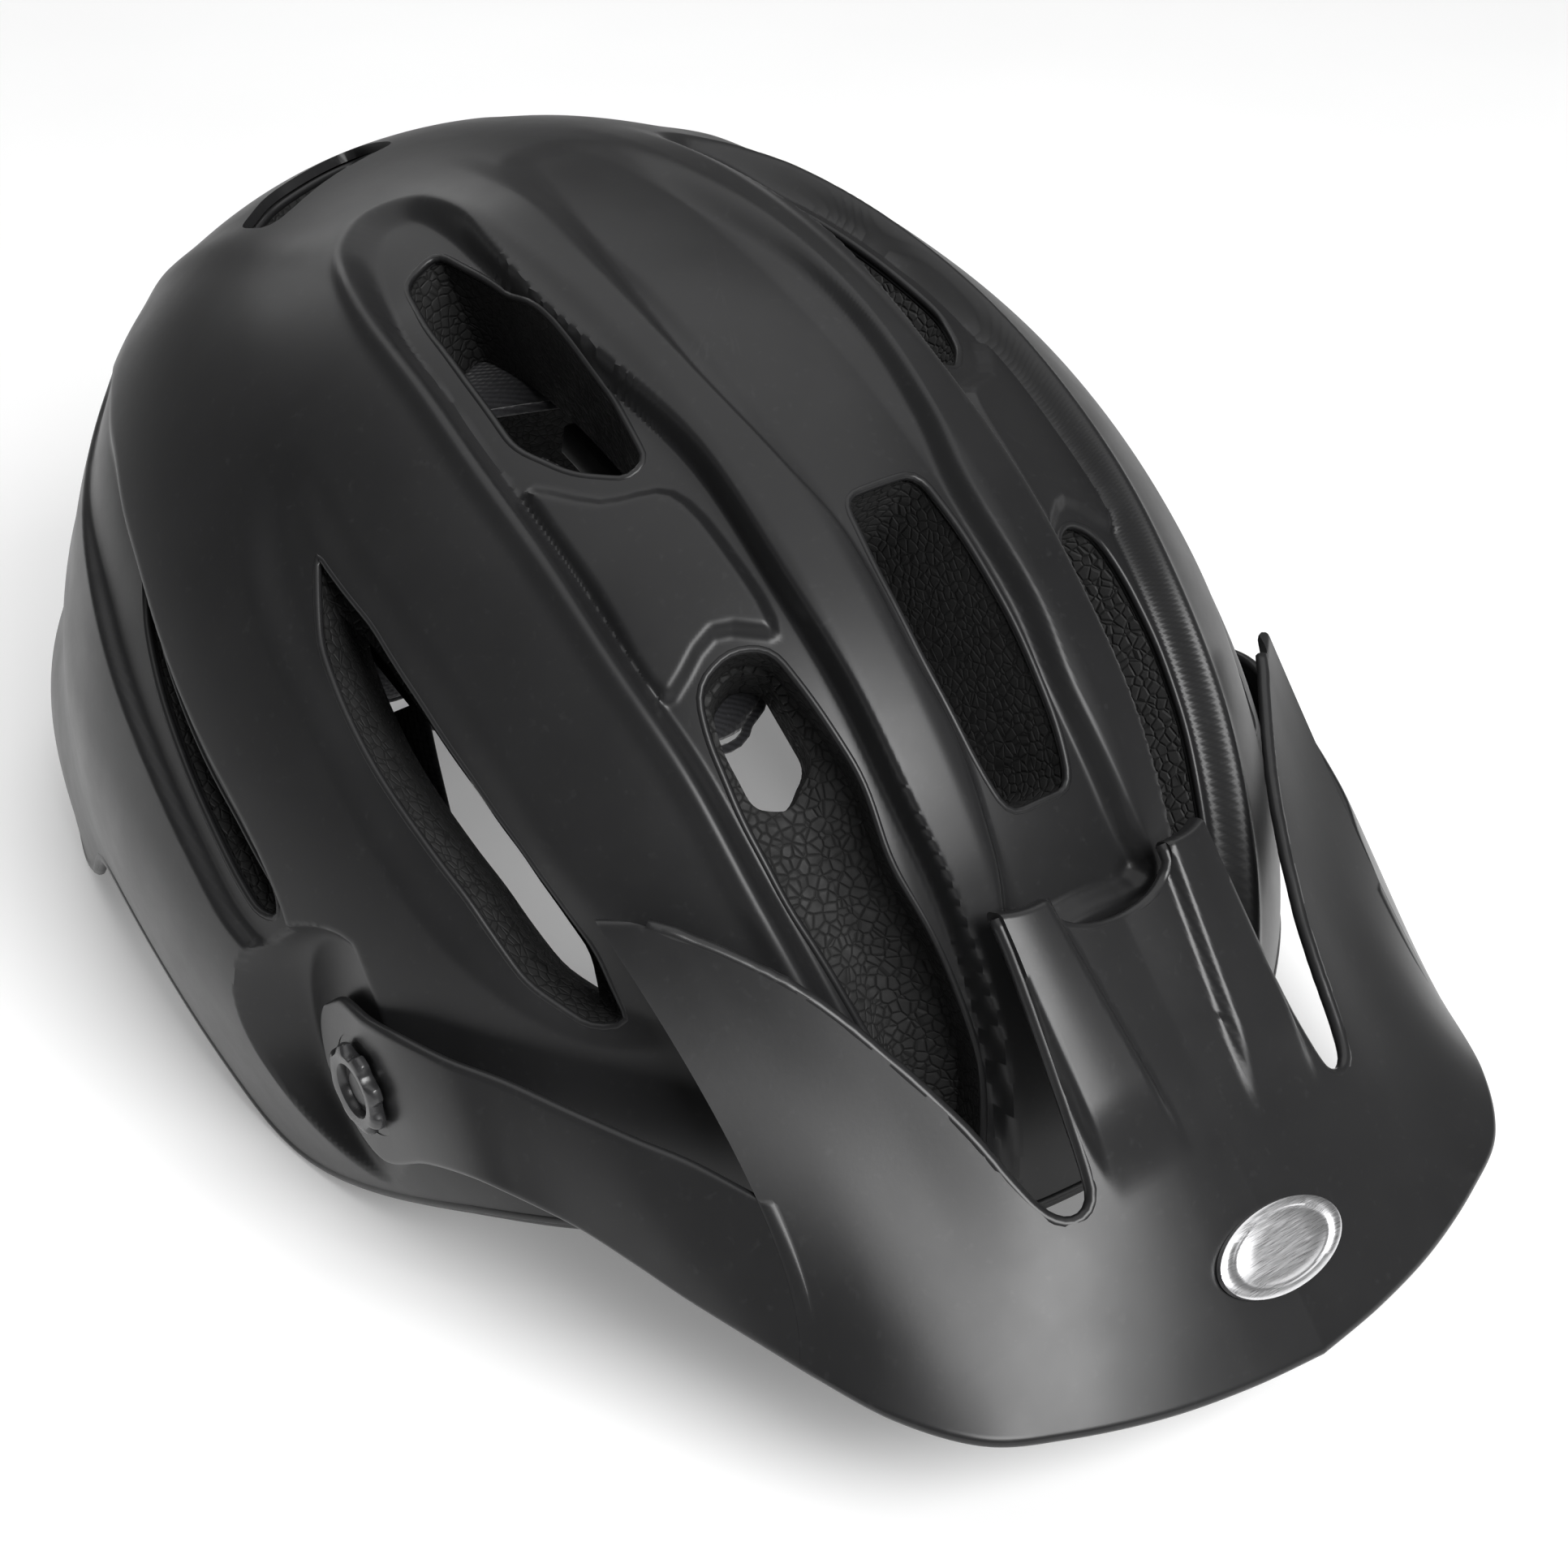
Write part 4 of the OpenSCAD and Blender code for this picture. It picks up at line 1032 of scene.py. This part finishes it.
for s, side in ((1, "left"), (-1, "right")):
    prof = [(0, 97.4), (4.0, 97.4), (4.3, 97.5), (4.5, 98.5), (4.9, 99.0), (6.2, 99.25), (6.9, 99.2), (7.6, 98.85), (8.0, 98.3), (8.1, 97.6), (7.9, 97.0), (7.5, 96.8), (4.05, 96.8), (4.0, 94.3), (2.45, 94.2), (2.45, 82.2), (0, 82.0)]
    k = turned("visor_thumbscrew_" + side, prof, SCREW, 96, 8, 1.3, at_pivot(s, 0.3))
    sharpen(k, 38)
    cap = turned("visor_screw_cap_" + side, [(0, 97.9), (2.6, 97.9), (3.2, 97.75), (3.4, 97.35), (0, 97.3)], HARD, 48, 0, 0, at_pivot(s))
    cross = []
    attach(k, "root")
    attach(cap, "root")
    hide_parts("visor_screw_" + side)


def on_badge(V):
    a = math.radians(31.5)
    x, y, z = V[:, 0] * 2.03, V[:, 1] * 1.07, V[:, 2]
    return np.stack([x, -167.6 + y * math.cos(a) - z * math.sin(a), 46.6 + y * math.sin(a) + z * math.cos(a)], 1)


badge = turned("visor_oval_plate", [(0, 0.95), (2.6, 0.93), (4.3, 0.86), (4.5, 0.7), (4.9, 0.7), (5.1, 0.9), (5.9, 0.85), (6.15, 0.6), (6.2, -0.4), (0, -0.4)], BADGE, 96, 0, 0, on_badge)
sharpen(badge, 40)
for o in (visor, lip, badge):
    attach(o, "visor")
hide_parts("visor")
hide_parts("visor_badge")

# ---------------------------------------------------------------- pads, blown up by a short cloth simulation
PAD_T = 6.0
pads = []


def patch_mesh(name, a0, a1, t0, t1, ca, ct, d0, d1):
    """A closed slab that lies along the liner's inside, with rounded corners."""
    I = np.linspace(-1, 1, ca + 1)
    J = np.linspace(-1, 1, ct + 1)
    U_, V_ = np.meshgrid(I, J, indexing="ij")
    # square to rounded square
    rr = 0.30
    k = 1 - rr * (U_**2) * (V_**2)
    A_ = (a0 + a1) / 2 + (a1 - a0) / 2 * U_ * k
    T_ = (t0 + t1) / 2 + (t1 - t0) / 2 * V_ * k
    P0, P1 = inner(A_, T_, d0), inner(A_, T_, d1)
    m = ct + 1
    n = (ca + 1) * m
    V = np.vstack([P0.reshape(-1, 3), P1.reshape(-1, 3)])
    F = []
    for i in range(ca):
        for j in range(ct):
            a = i * m + j
            F.append((a, a + m, a + m + 1, a + 1))
            F.append((n + a, n + a + 1, n + a + m + 1, n + a + m))
    ring = [i * m for i in range(ca + 1)] + [ca * m + j for j in range(1, ct + 1)] + [i * m + ct for i in range(ca - 1, -1, -1)] + [j for j in range(ct - 1, 0, -1)]
    for p, q in zip(ring, ring[1:] + ring[:1]):
        F.append((p, q, n + q, n + p))
    ob = make(name, V, F)
    bm = bmesh.new()
    bm.from_mesh(ob.data)
    bmesh.ops.recalc_face_normals(bm, faces=bm.faces)
    bm.to_mesh(ob.data)
    bm.free()
    mid = inner(A_, T_, (d0 + d1) / 2).reshape(-1, 3)[ring]
    return ob, mid


PADS = [("brow", "brow_pad", "root", [(-46, 46, 54, 66, 40, 8)], PAD_T)]
for s, side in ((1, "left"), (-1, "right")):
    PADS.append(("crown_" + side, "crown_pad_" + side, "root", [((a0, a1) if s > 0 else (-a1, -a0)) + (10, 40, 12, 26) for a0, a1 in ((20, 48), (132, 160))], PAD_T))
    PADS.append(("side_" + side, "side_pad_" + side, "root", [((66, 112) if s > 0 else (-112, -66)) + (60, 78, 26, 12)], PAD_T * 0.8))
soft = []
for name, node, body, parts_, t in PADS:
    for i, (a0, a1, t0, t1, ca, ct) in enumerate(parts_):
        ob, seam = patch_mesh("pad_%s%s" % (name, "_%d" % (i + 1) if len(parts_) > 1 else ""), a0, a1, t0, t1, ca, ct, 0.7, 0.5 + t)
        soft.append((ob, seam, node, body))


def nape():
    V, F = [], []
    n = 48
    for y in (77.6, 83.2):
        for k in range(n):
            a = 2 * math.pi * k / n
            V.append(((9 if math.cos(a) > 0 else -9) + 8.9 * math.cos(a), y, -40 + 8.9 * math.sin(a)))
    V += [(0, 77.6, -40), (0, 83.2, -40)]
    for k in range(n):
        l = (k + 1) % n
        F += [(k, l, n + l, n + k), (2 * n, l, k), (2 * n + 1, n + k, n + l)]
    return make("pad_nape", V, F), np.array(V[:n]) + [0, 2.8, 0]


ob, seam = nape()
bm = bmesh.new()
bm.from_mesh(ob.data)
bmesh.ops.recalc_face_normals(bm, faces=bm.faces)
bm.to_mesh(ob.data)
bm.free()
soft.append((ob, seam, "nape_pad", "harness"))

rest_pts = {}
for ob, seam, node, body in soft:
    m = ob.modifiers.new("remesh", "REMESH")
    m.mode = "VOXEL"
    m.voxel_size = 0.0042
    apply_all(ob)
    co = np.empty(len(ob.data.vertices) * 3)
    ob.data.vertices.foreach_get("co", co)
    rest_pts[ob.name] = co.reshape(-1, 3)
for ob, seam, node, body in soft:
    c = ob.modifiers.new("cloth", "CLOTH")
    c.settings.use_pressure = True
    c.settings.uniform_pressure_force = 4.0
    c.settings.effector_weights.gravity = 0
    c.settings.quality = 4
    c.settings.mass = 0.15
    c.point_cache.frame_start, c.point_cache.frame_end = 1, 20
sc = bpy.context.scene
for f in range(1, 21):
    sc.frame_set(f)
dg = bpy.context.evaluated_depsgraph_get()
for ob, seam, node, body in soft:
    ev = ob.evaluated_get(dg)
    me = ev.to_mesh()
    co = np.empty(len(me.vertices) * 3)
    me.vertices.foreach_get("co", co)
    ev.to_mesh_clear()
    co = co.reshape(-1, 3)
    rest = rest_pts[ob.name]
    d = co - rest
    L = np.linalg.norm(d, axis=1, keepdims=True)
    d *= np.minimum(1, 0.0022 / np.maximum(L, 1e-9))
    # the foam behind stops a pad from growing that way
    ctr = stand([[0, 0, 0]])[0] if node != "nape_pad" else stand([[0, 0, -40]])[0]
    out = rest - ctr
    out /= np.linalg.norm(out, axis=1, keepdims=True)
    o_ = (d * out).sum(1, keepdims=True)
    d -= out * np.maximum(0, o_ - 0.0002)
    rest_pts[ob.name] = rest + d
sc.frame_set(1)
for ob, seam, node, body in soft:
    ob.modifiers.clear()
    ob.data.vertices.foreach_set("co", rest_pts[ob.name].reshape(-1).astype(np.float32))
    ob.data.update()
    sub = ob.modifiers.new("sub", "SUBSURF")
    sub.levels = sub.render_levels = 1
    apply_all(ob)
    ob.data.polygons.foreach_set("use_smooth", [True] * len(ob.data.polygons))
    ob.data.materials.clear()
    ob.data.materials.append(KNIT)
    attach(ob, body)
    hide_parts(node)
    pipe = tube(ob.name + "_binding", resample(seam, 1.8), 0.85, KNIT, True, 8)
    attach(pipe, body)

# ---------------------------------------------------------------- webbing
def out_dir(P):
    P = np.asarray(P, float)
    return np.stack([P[:, 0] / CAVW**2, P[:, 1] / CAVL**2, np.maximum(0, P[:, 2]) / CAVH**2], 1)


def ribbon(name, P, w, t, mat, O=None, wave=0.0, round_=0.35, nw=14):
    """A flat band through points: O gives the side that its thickness grows towards."""
    P = np.asarray(P, float)
    n = len(P)
    T_ = np.gradient(P, axis=0)
    T_ /= np.linalg.norm(T_, axis=1)[:, None]
    O = out_dir(P) if O is None else np.asarray(O, float)
    O = O - T_ * (O * T_).sum(1)[:, None]
    O /= np.linalg.norm(O, axis=1)[:, None]
    S = np.cross(T_, O)
    along = np.r_[0, np.cumsum(np.linalg.norm(np.diff(P, axis=0), axis=1))]
    # section: a flat oval
    sec = []
    k = 5
    for q in np.linspace(-1, 1, nw + 1):
        sec.append((q * (w / 2 - t * round_), 1.0))
    for q in range(1, k):
        a_ = math.pi * q / k
        sec.append((w / 2 - t * round_ + t * round_ * math.sin(a_), math.cos(a_)))
    for q in np.linspace(1, -1, nw + 1):
        sec.append((q * (w / 2 - t * round_), -1.0))
    for q in range(1, k):
        a_ = math.pi * q / k
        sec.append((-(w / 2 - t * round_) - t * round_ * math.sin(a_), -math.cos(a_)))
    sec = np.array(sec)
    m = len(sec)
    V = P[:, None, :] + S[:, None, :] * sec[None, :, :1] + O[:, None, :] * (t / 2 + sec[None, :, 1:] * t / 2)
    if wave:
        V = V + O[:, None, :] * (wave * np.sin(along / 9.0)[:, None, None] * (sec[None, :, :1] / (w / 2)))
    V = V.reshape(-1, 3)
    F = []
    for i in range(n - 1):
        for j in range(m):
            l = (j + 1) % m
            F.append((i * m + j, i * m + l, (i + 1) * m + l, (i + 1) * m + j))
    F.append(tuple(range(m))[::-1])
    F.append(tuple((n - 1) * m + j for j in range(m)))
    ob = make(name, V, F, mat)
    me = ob.data
    for an, val in (("across", np.tile(sec[:, 0] / 1000 + 0.05, n)), ("along", np.repeat(along / 1000, m))):
        at = me.attributes.new(an, "FLOAT", "POINT")
        at.data.foreach_set("value", val.astype(np.float32))
    bm = bmesh.new()
    bm.from_mesh(me)
    bmesh.ops.recalc_face_normals(bm, faces=bm.faces)
    bm.to_mesh(me)
    bm.free()
    return ob, (P, T_, O, S)


def bar_tack(name, fr, i, w, t, rows=3):
    """Rows of stitches across a strap near point i."""
    P, T_, O, S = fr
    parts_ = []
    for r in range(rows):
        k = min(len(P) - 1, max(0, i + r))
        for side in (0.0, 1.0):
            n = 9
            for q in range(n):
                x0 = (q / n - 0.5 + 0.02) * (w - 3)
                x1 = ((q + 0.75) / n - 0.5 + 0.02) * (w - 3)
                h = t * side + (0.18 if side else -0.18)
                a_, b_ = P[k] + S[k] * x0 + O[k] * h, P[k] + S[k] * x1 + O[k] * h
                mid_ = (a_ + b_) / 2 + O[k] * (0.12 if side else -0.12)
                parts_.append(tube(name, np.array([a_, mid_, b_]), 0.2, THREAD, False, 6))
    return join(name, parts_)


def W(az, tt, d):
    return inner(np.array([az], float), np.array([tt], float), d)[0]


FRONT_LEG = np.array([W(53, 87, 5.2), W(58, 80, 8), W(67, 70, 8.8), W(77, 62, 9), W(86, 56.5, 9)])
REAR_LEG = np.array([W(129, 91, 5.2), W(124, 84, 8), W(115, 75, 8.8), W(106, 66, 9), W(97, 58, 9)])
CHIN = np.array([W(92, 49, 9), W(94, 40, 9), W(96, 30, 9.5), W(100, 22, 10.5)])
WEB_W, WEB_T = 15.0, 1.4
for s, side in ((1, "left"), (-1, "right")):
    m3 = np.array([s, 1, 1])
    for nm, leg, node in (("front", FRONT_LEG, "strap_front_"), ("rear", REAR_LEG, "strap_rear_")):
        ob, fr = ribbon("webbing_%s_%s" % (nm, side), catmull(leg * m3, 14), WEB_W, WEB_T, WEB, wave=0.25)
        st = bar_tack("stitches_%s_%s" % (nm, side), fr, 5, WEB_W, WEB_T, 4)
        for o in (ob, st):
            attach(o, "root")
        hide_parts(node + side)
    if s > 0:
        # to the bar of the buckle's socket
        path = np.vstack([CHIN * m3, [[25.5, 6.4, 74.6]]])
    else:
        path = np.vstack([CHIN * m3, [[-20.5, 6.6, 75.0]]])
    ob, fr = ribbon("webbing_chin_" + side, catmull(path, 14), WEB_W, WEB_T, WEB, wave=0.2)
    st = bar_tack("stitches_chin_" + side, fr, len(fr[0]) - 9, WEB_W, WEB_T, 4)
    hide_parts("chin_strap_" + side)
    if s > 0:
        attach(ob, "root")
        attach(st, "root")
    else:
        a_, b_ = stand(fr[0][8]), stand(fr[0][-8])
        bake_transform(ob)
        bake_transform(st)

# ---------------------------------------------------------------- hard pieces with broken edges
def polished(node, body, mat, width, deg=28):
    """The CAD piece again, with its edges rounded over."""
    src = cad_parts[node]
    me = src.data.copy()
    me.transform(src.matrix_world)
    ob = bpy.data.objects.new(node.replace("_", "-") + "-moulded", me)
    COLL.objects.link(ob)
    bm = bmesh.new()
    bm.from_mesh(me)
    bmesh.ops.remove_doubles(bm, verts=bm.verts, dist=0.00001)
    bmesh.ops.dissolve_limit(bm, angle_limit=math.radians(1.5), verts=bm.verts, edges=bm.edges)
    bmesh.ops.recalc_face_normals(bm, faces=bm.faces)
    bm.to_mesh(me)
    bm.free()
    if me.has_custom_normals:
        active(ob)
        bpy.ops.mesh.customdata_custom_splitnormals_clear()
    b = ob.modifiers.new("bevel", "BEVEL")
    b.width = width / 1000
    b.segments = 2
    b.limit_method = "ANGLE"
    b.angle_limit = math.radians(deg)
    b.use_clamp_overlap = True
    apply_all(ob)
    me.materials.clear()
    me.materials.append(mat)
    sharpen(ob, 36)
    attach(ob, body)
    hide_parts(node)
    return ob


for node, body, mat, width, slot_ in (
        ("cradle", "harness", GREY, 0.5, "fit_plastic"), ("dial_cover", "harness", GREY, 0.5, "fit_plastic"),
        ("cradle_lobe_right", "harness", RUBBER, 0.5, "grip_rubber"), ("cradle_lobe_left", "harness", RUBBER, 0.5, "grip_rubber"),
        ("fit_dial", "dial", RUBBER, 0.3, "grip_rubber"), ("height_hanger", "harness", GREY, 0.3, "fit_plastic"),
        ("hanger_anchor", "root", HARD, 0.35, "hardware_plastic"), ("buckle_female", "root", HARD, 0.6, "hardware_plastic"),
        ("buckle_male", "buckle_tongue", HARD, 0.5, "hardware_plastic"), ("strap_keeper", "root", RUBBER, 0.4, "hardware_plastic"),
        ("strap_divider_right", "root", HARD, 0.35, "hardware_plastic"), ("strap_divider_left", "root", HARD, 0.35, "hardware_plastic"),
        ("temple_clip_right", "root", HARD, 0.3, "hardware_plastic"), ("temple_clip_left", "root", HARD, 0.3, "hardware_plastic")):
    polished(node, body, mat, width)

# the head band: a moulded strip with a rolled edge and a row of slots
BAND = np.array([[74.8, -30, -11], [76, -12, -15], [76, 8, -21], [73.5, 30, -28], [68, 50, -34], [59, 68, -38.5], [51, 78.5, -40], [44, 84, -40]], float)
for s, side in ((1, "left"), (-1, "right")):
    P = catmull(BAND * [s, 1, 1], 16)
    ob, fr = ribbon("head_band_" + side, P, 11, 1.5, GREY, round_=0.5)
    slots = []
    P_, T_, O_, S_ = fr
    for i in range(14, len(P_) - 30, 9):
        ring = []
        for q in range(20):
            a_ = 2 * math.pi * q / 20
            ring.append(P_[i] + T_[i] * ((2.4 if math.cos(a_) > 0 else -2.4) * 0.9 + 1.3 * math.cos(a_)) + S_[i] * 1.6 * math.sin(a_))
        ring = np.array(ring)
        V = np.vstack([ring - O_[i] * 4, ring + O_[i] * 6, [P_[i] - O_[i] * 4], [P_[i] + O_[i] * 6]])
        F = []
        for q in range(20):
            l = (q + 1) % 20
            F += [(q, l, 20 + l, 20 + q), (40, l, q), (41, 20 + q, 20 + l)]
        c_ = make("slotcut", V, F, smooth=False)
        bm = bmesh.new()
        bm.from_mesh(c_.data)
        bmesh.ops.recalc_face_normals(bm, faces=bm.faces)
        bm.to_mesh(c_.data)
        bm.free()
        slots.append(c_)
    tab = rod(s, 8, 74.8, 76.4, (-36, -10), 64)
    boolean(ob, [tab], "UNION")
    boolean(ob, slots + [rod(s, 2.55, 70, 82, (-36, -10), 32)])
    ob.data.materials.clear()
    ob.data.materials.append(GREY)
    sharpen(ob, 38)
    rolls = [tube("roll", P_ + S_ * e * 5.0 + O_ * 0.75, 0.95, GREY, False, 10) for e in (1, -1)]
    roll = join("head_band_edge_" + side, rolls)
    for o in (ob, roll):
        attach(o, "harness")
    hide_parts("fit_band_" + side)

# ---------------------------------------------------------------- finishes of the pieces kept as they are in the CAD
FINISH = {
    "visor_washer": RUBBER, "visor_insert": BRASS, "temple_clip": HARD, "fit_band": GREY, "fit_rack": HARD, "cradle": GREY, "cradle_lobe": RUBBER,
    "dial_cover": GREY, "fit_dial": RUBBER, "dial_pinion": PINION, "height_hanger": GREY, "hanger_anchor": HARD, "brow_pad": KNIT, "crown_pad": KNIT,
    "side_pad": KNIT, "nape_pad": KNIT, "strap_front": WEB, "strap_rear": WEB, "chin_strap": WEB, "strap_divider": HARD, "strap_anchors": HARD,
    "buckle": HARD, "strap_keeper": RUBBER,
}
for n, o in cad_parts.items():
    key = max((k for k in FINISH if n.startswith(k)), key=len, default=None)
    if key:
        for sl in o.material_slots:
            sl.material = FINISH[key]

# ---------------------------------------------------------------- floor, light and camera
fl = Mat("floor_paper")
fl.set(Base_Color=fl.ramp(fl.noise(6, 3), [(0.3, (0.80, 0.80, 0.80)), (0.7, (0.83, 0.83, 0.83))]), Roughness=0.9, Specular_IOR_Level=0.2)
fl.set(Emission_Color=(1.0, 1.0, 1.0), Emission_Strength=0.22)
fl.add_bump(fl.noise(700, 2), 0.05, 0.00005)
bpy.ops.mesh.primitive_plane_add(size=8, location=(0, 0, 0))
floor = bpy.context.object
floor.name = "floor"
floor.data.materials.append(fl.m)
w = bpy.data.worlds.new("studio")
bpy.context.scene.world = w
w.use_nodes = True
w.node_tree.nodes["Background"].inputs[0].default_value = (1, 1, 1, 1)
w.node_tree.nodes["Background"].inputs[1].default_value = 0.15


def area(name, loc, target, size, power):
    d = bpy.data.lights.new(name, "AREA")
    d.shape = "RECTANGLE"
    d.size, d.size_y = size
    d.energy = power
    o = bpy.data.objects.new(name, d)
    COLL.objects.link(o)
    o.location = loc
    o.rotation_euler = (Vector(target) - Vector(loc)).to_track_quat("-Z", "Y").to_euler()
    return o


area("key", (-0.05, -0.92, 0.90), (0, -0.05, 0.08), (0.66, 0.5), 17)
area("top", (0.15, 0.25, 1.35), (0, 0, 0.08), (1.7, 1.7), 11)
area("back", (0.1, 1.3, 0.75), (0, 0, 0.08), (0.8, 0.3), 2.2)

a, e, r, D = (math.radians(v) for v in (-44.2136, 45.2863, 11.9912, 0))
D = 462.516
T = np.array([0, -39.964, 30.364])
B = np.array([math.sin(a) * math.cos(e), -math.cos(a) * math.cos(e), math.sin(e)])
r0 = np.array([math.cos(a), math.sin(a), 0.0])
u0 = np.cross(B, r0)
R_ = math.cos(r) * r0 + math.sin(r) * u0
U_ = -math.sin(r) * r0 + math.cos(r) * u0
C = T + D * B
rx = np.array([[1, 0, 0], [0, CT, -ST], [0, ST, CT]])
M = np.stack([rx @ R_, rx @ U_, rx @ B], 1)
cam_d = bpy.data.cameras.new("camera")
cam_d.sensor_width = 36
cam_d.lens = 3111.066 / 1932 * 36
cam_d.clip_start, cam_d.clip_end = 0.01, 50
cam = bpy.data.objects.new("camera", cam_d)
COLL.objects.link(cam)
m4 = Matrix([[*M[0], stand(C)[0]], [*M[1], stand(C)[1]], [*M[2], stand(C)[2]], [0, 0, 0, 1]])
cam.matrix_world = m4
bpy.context.scene.camera = cam
bpy.context.scene.view_settings.view_transform = "Standard"
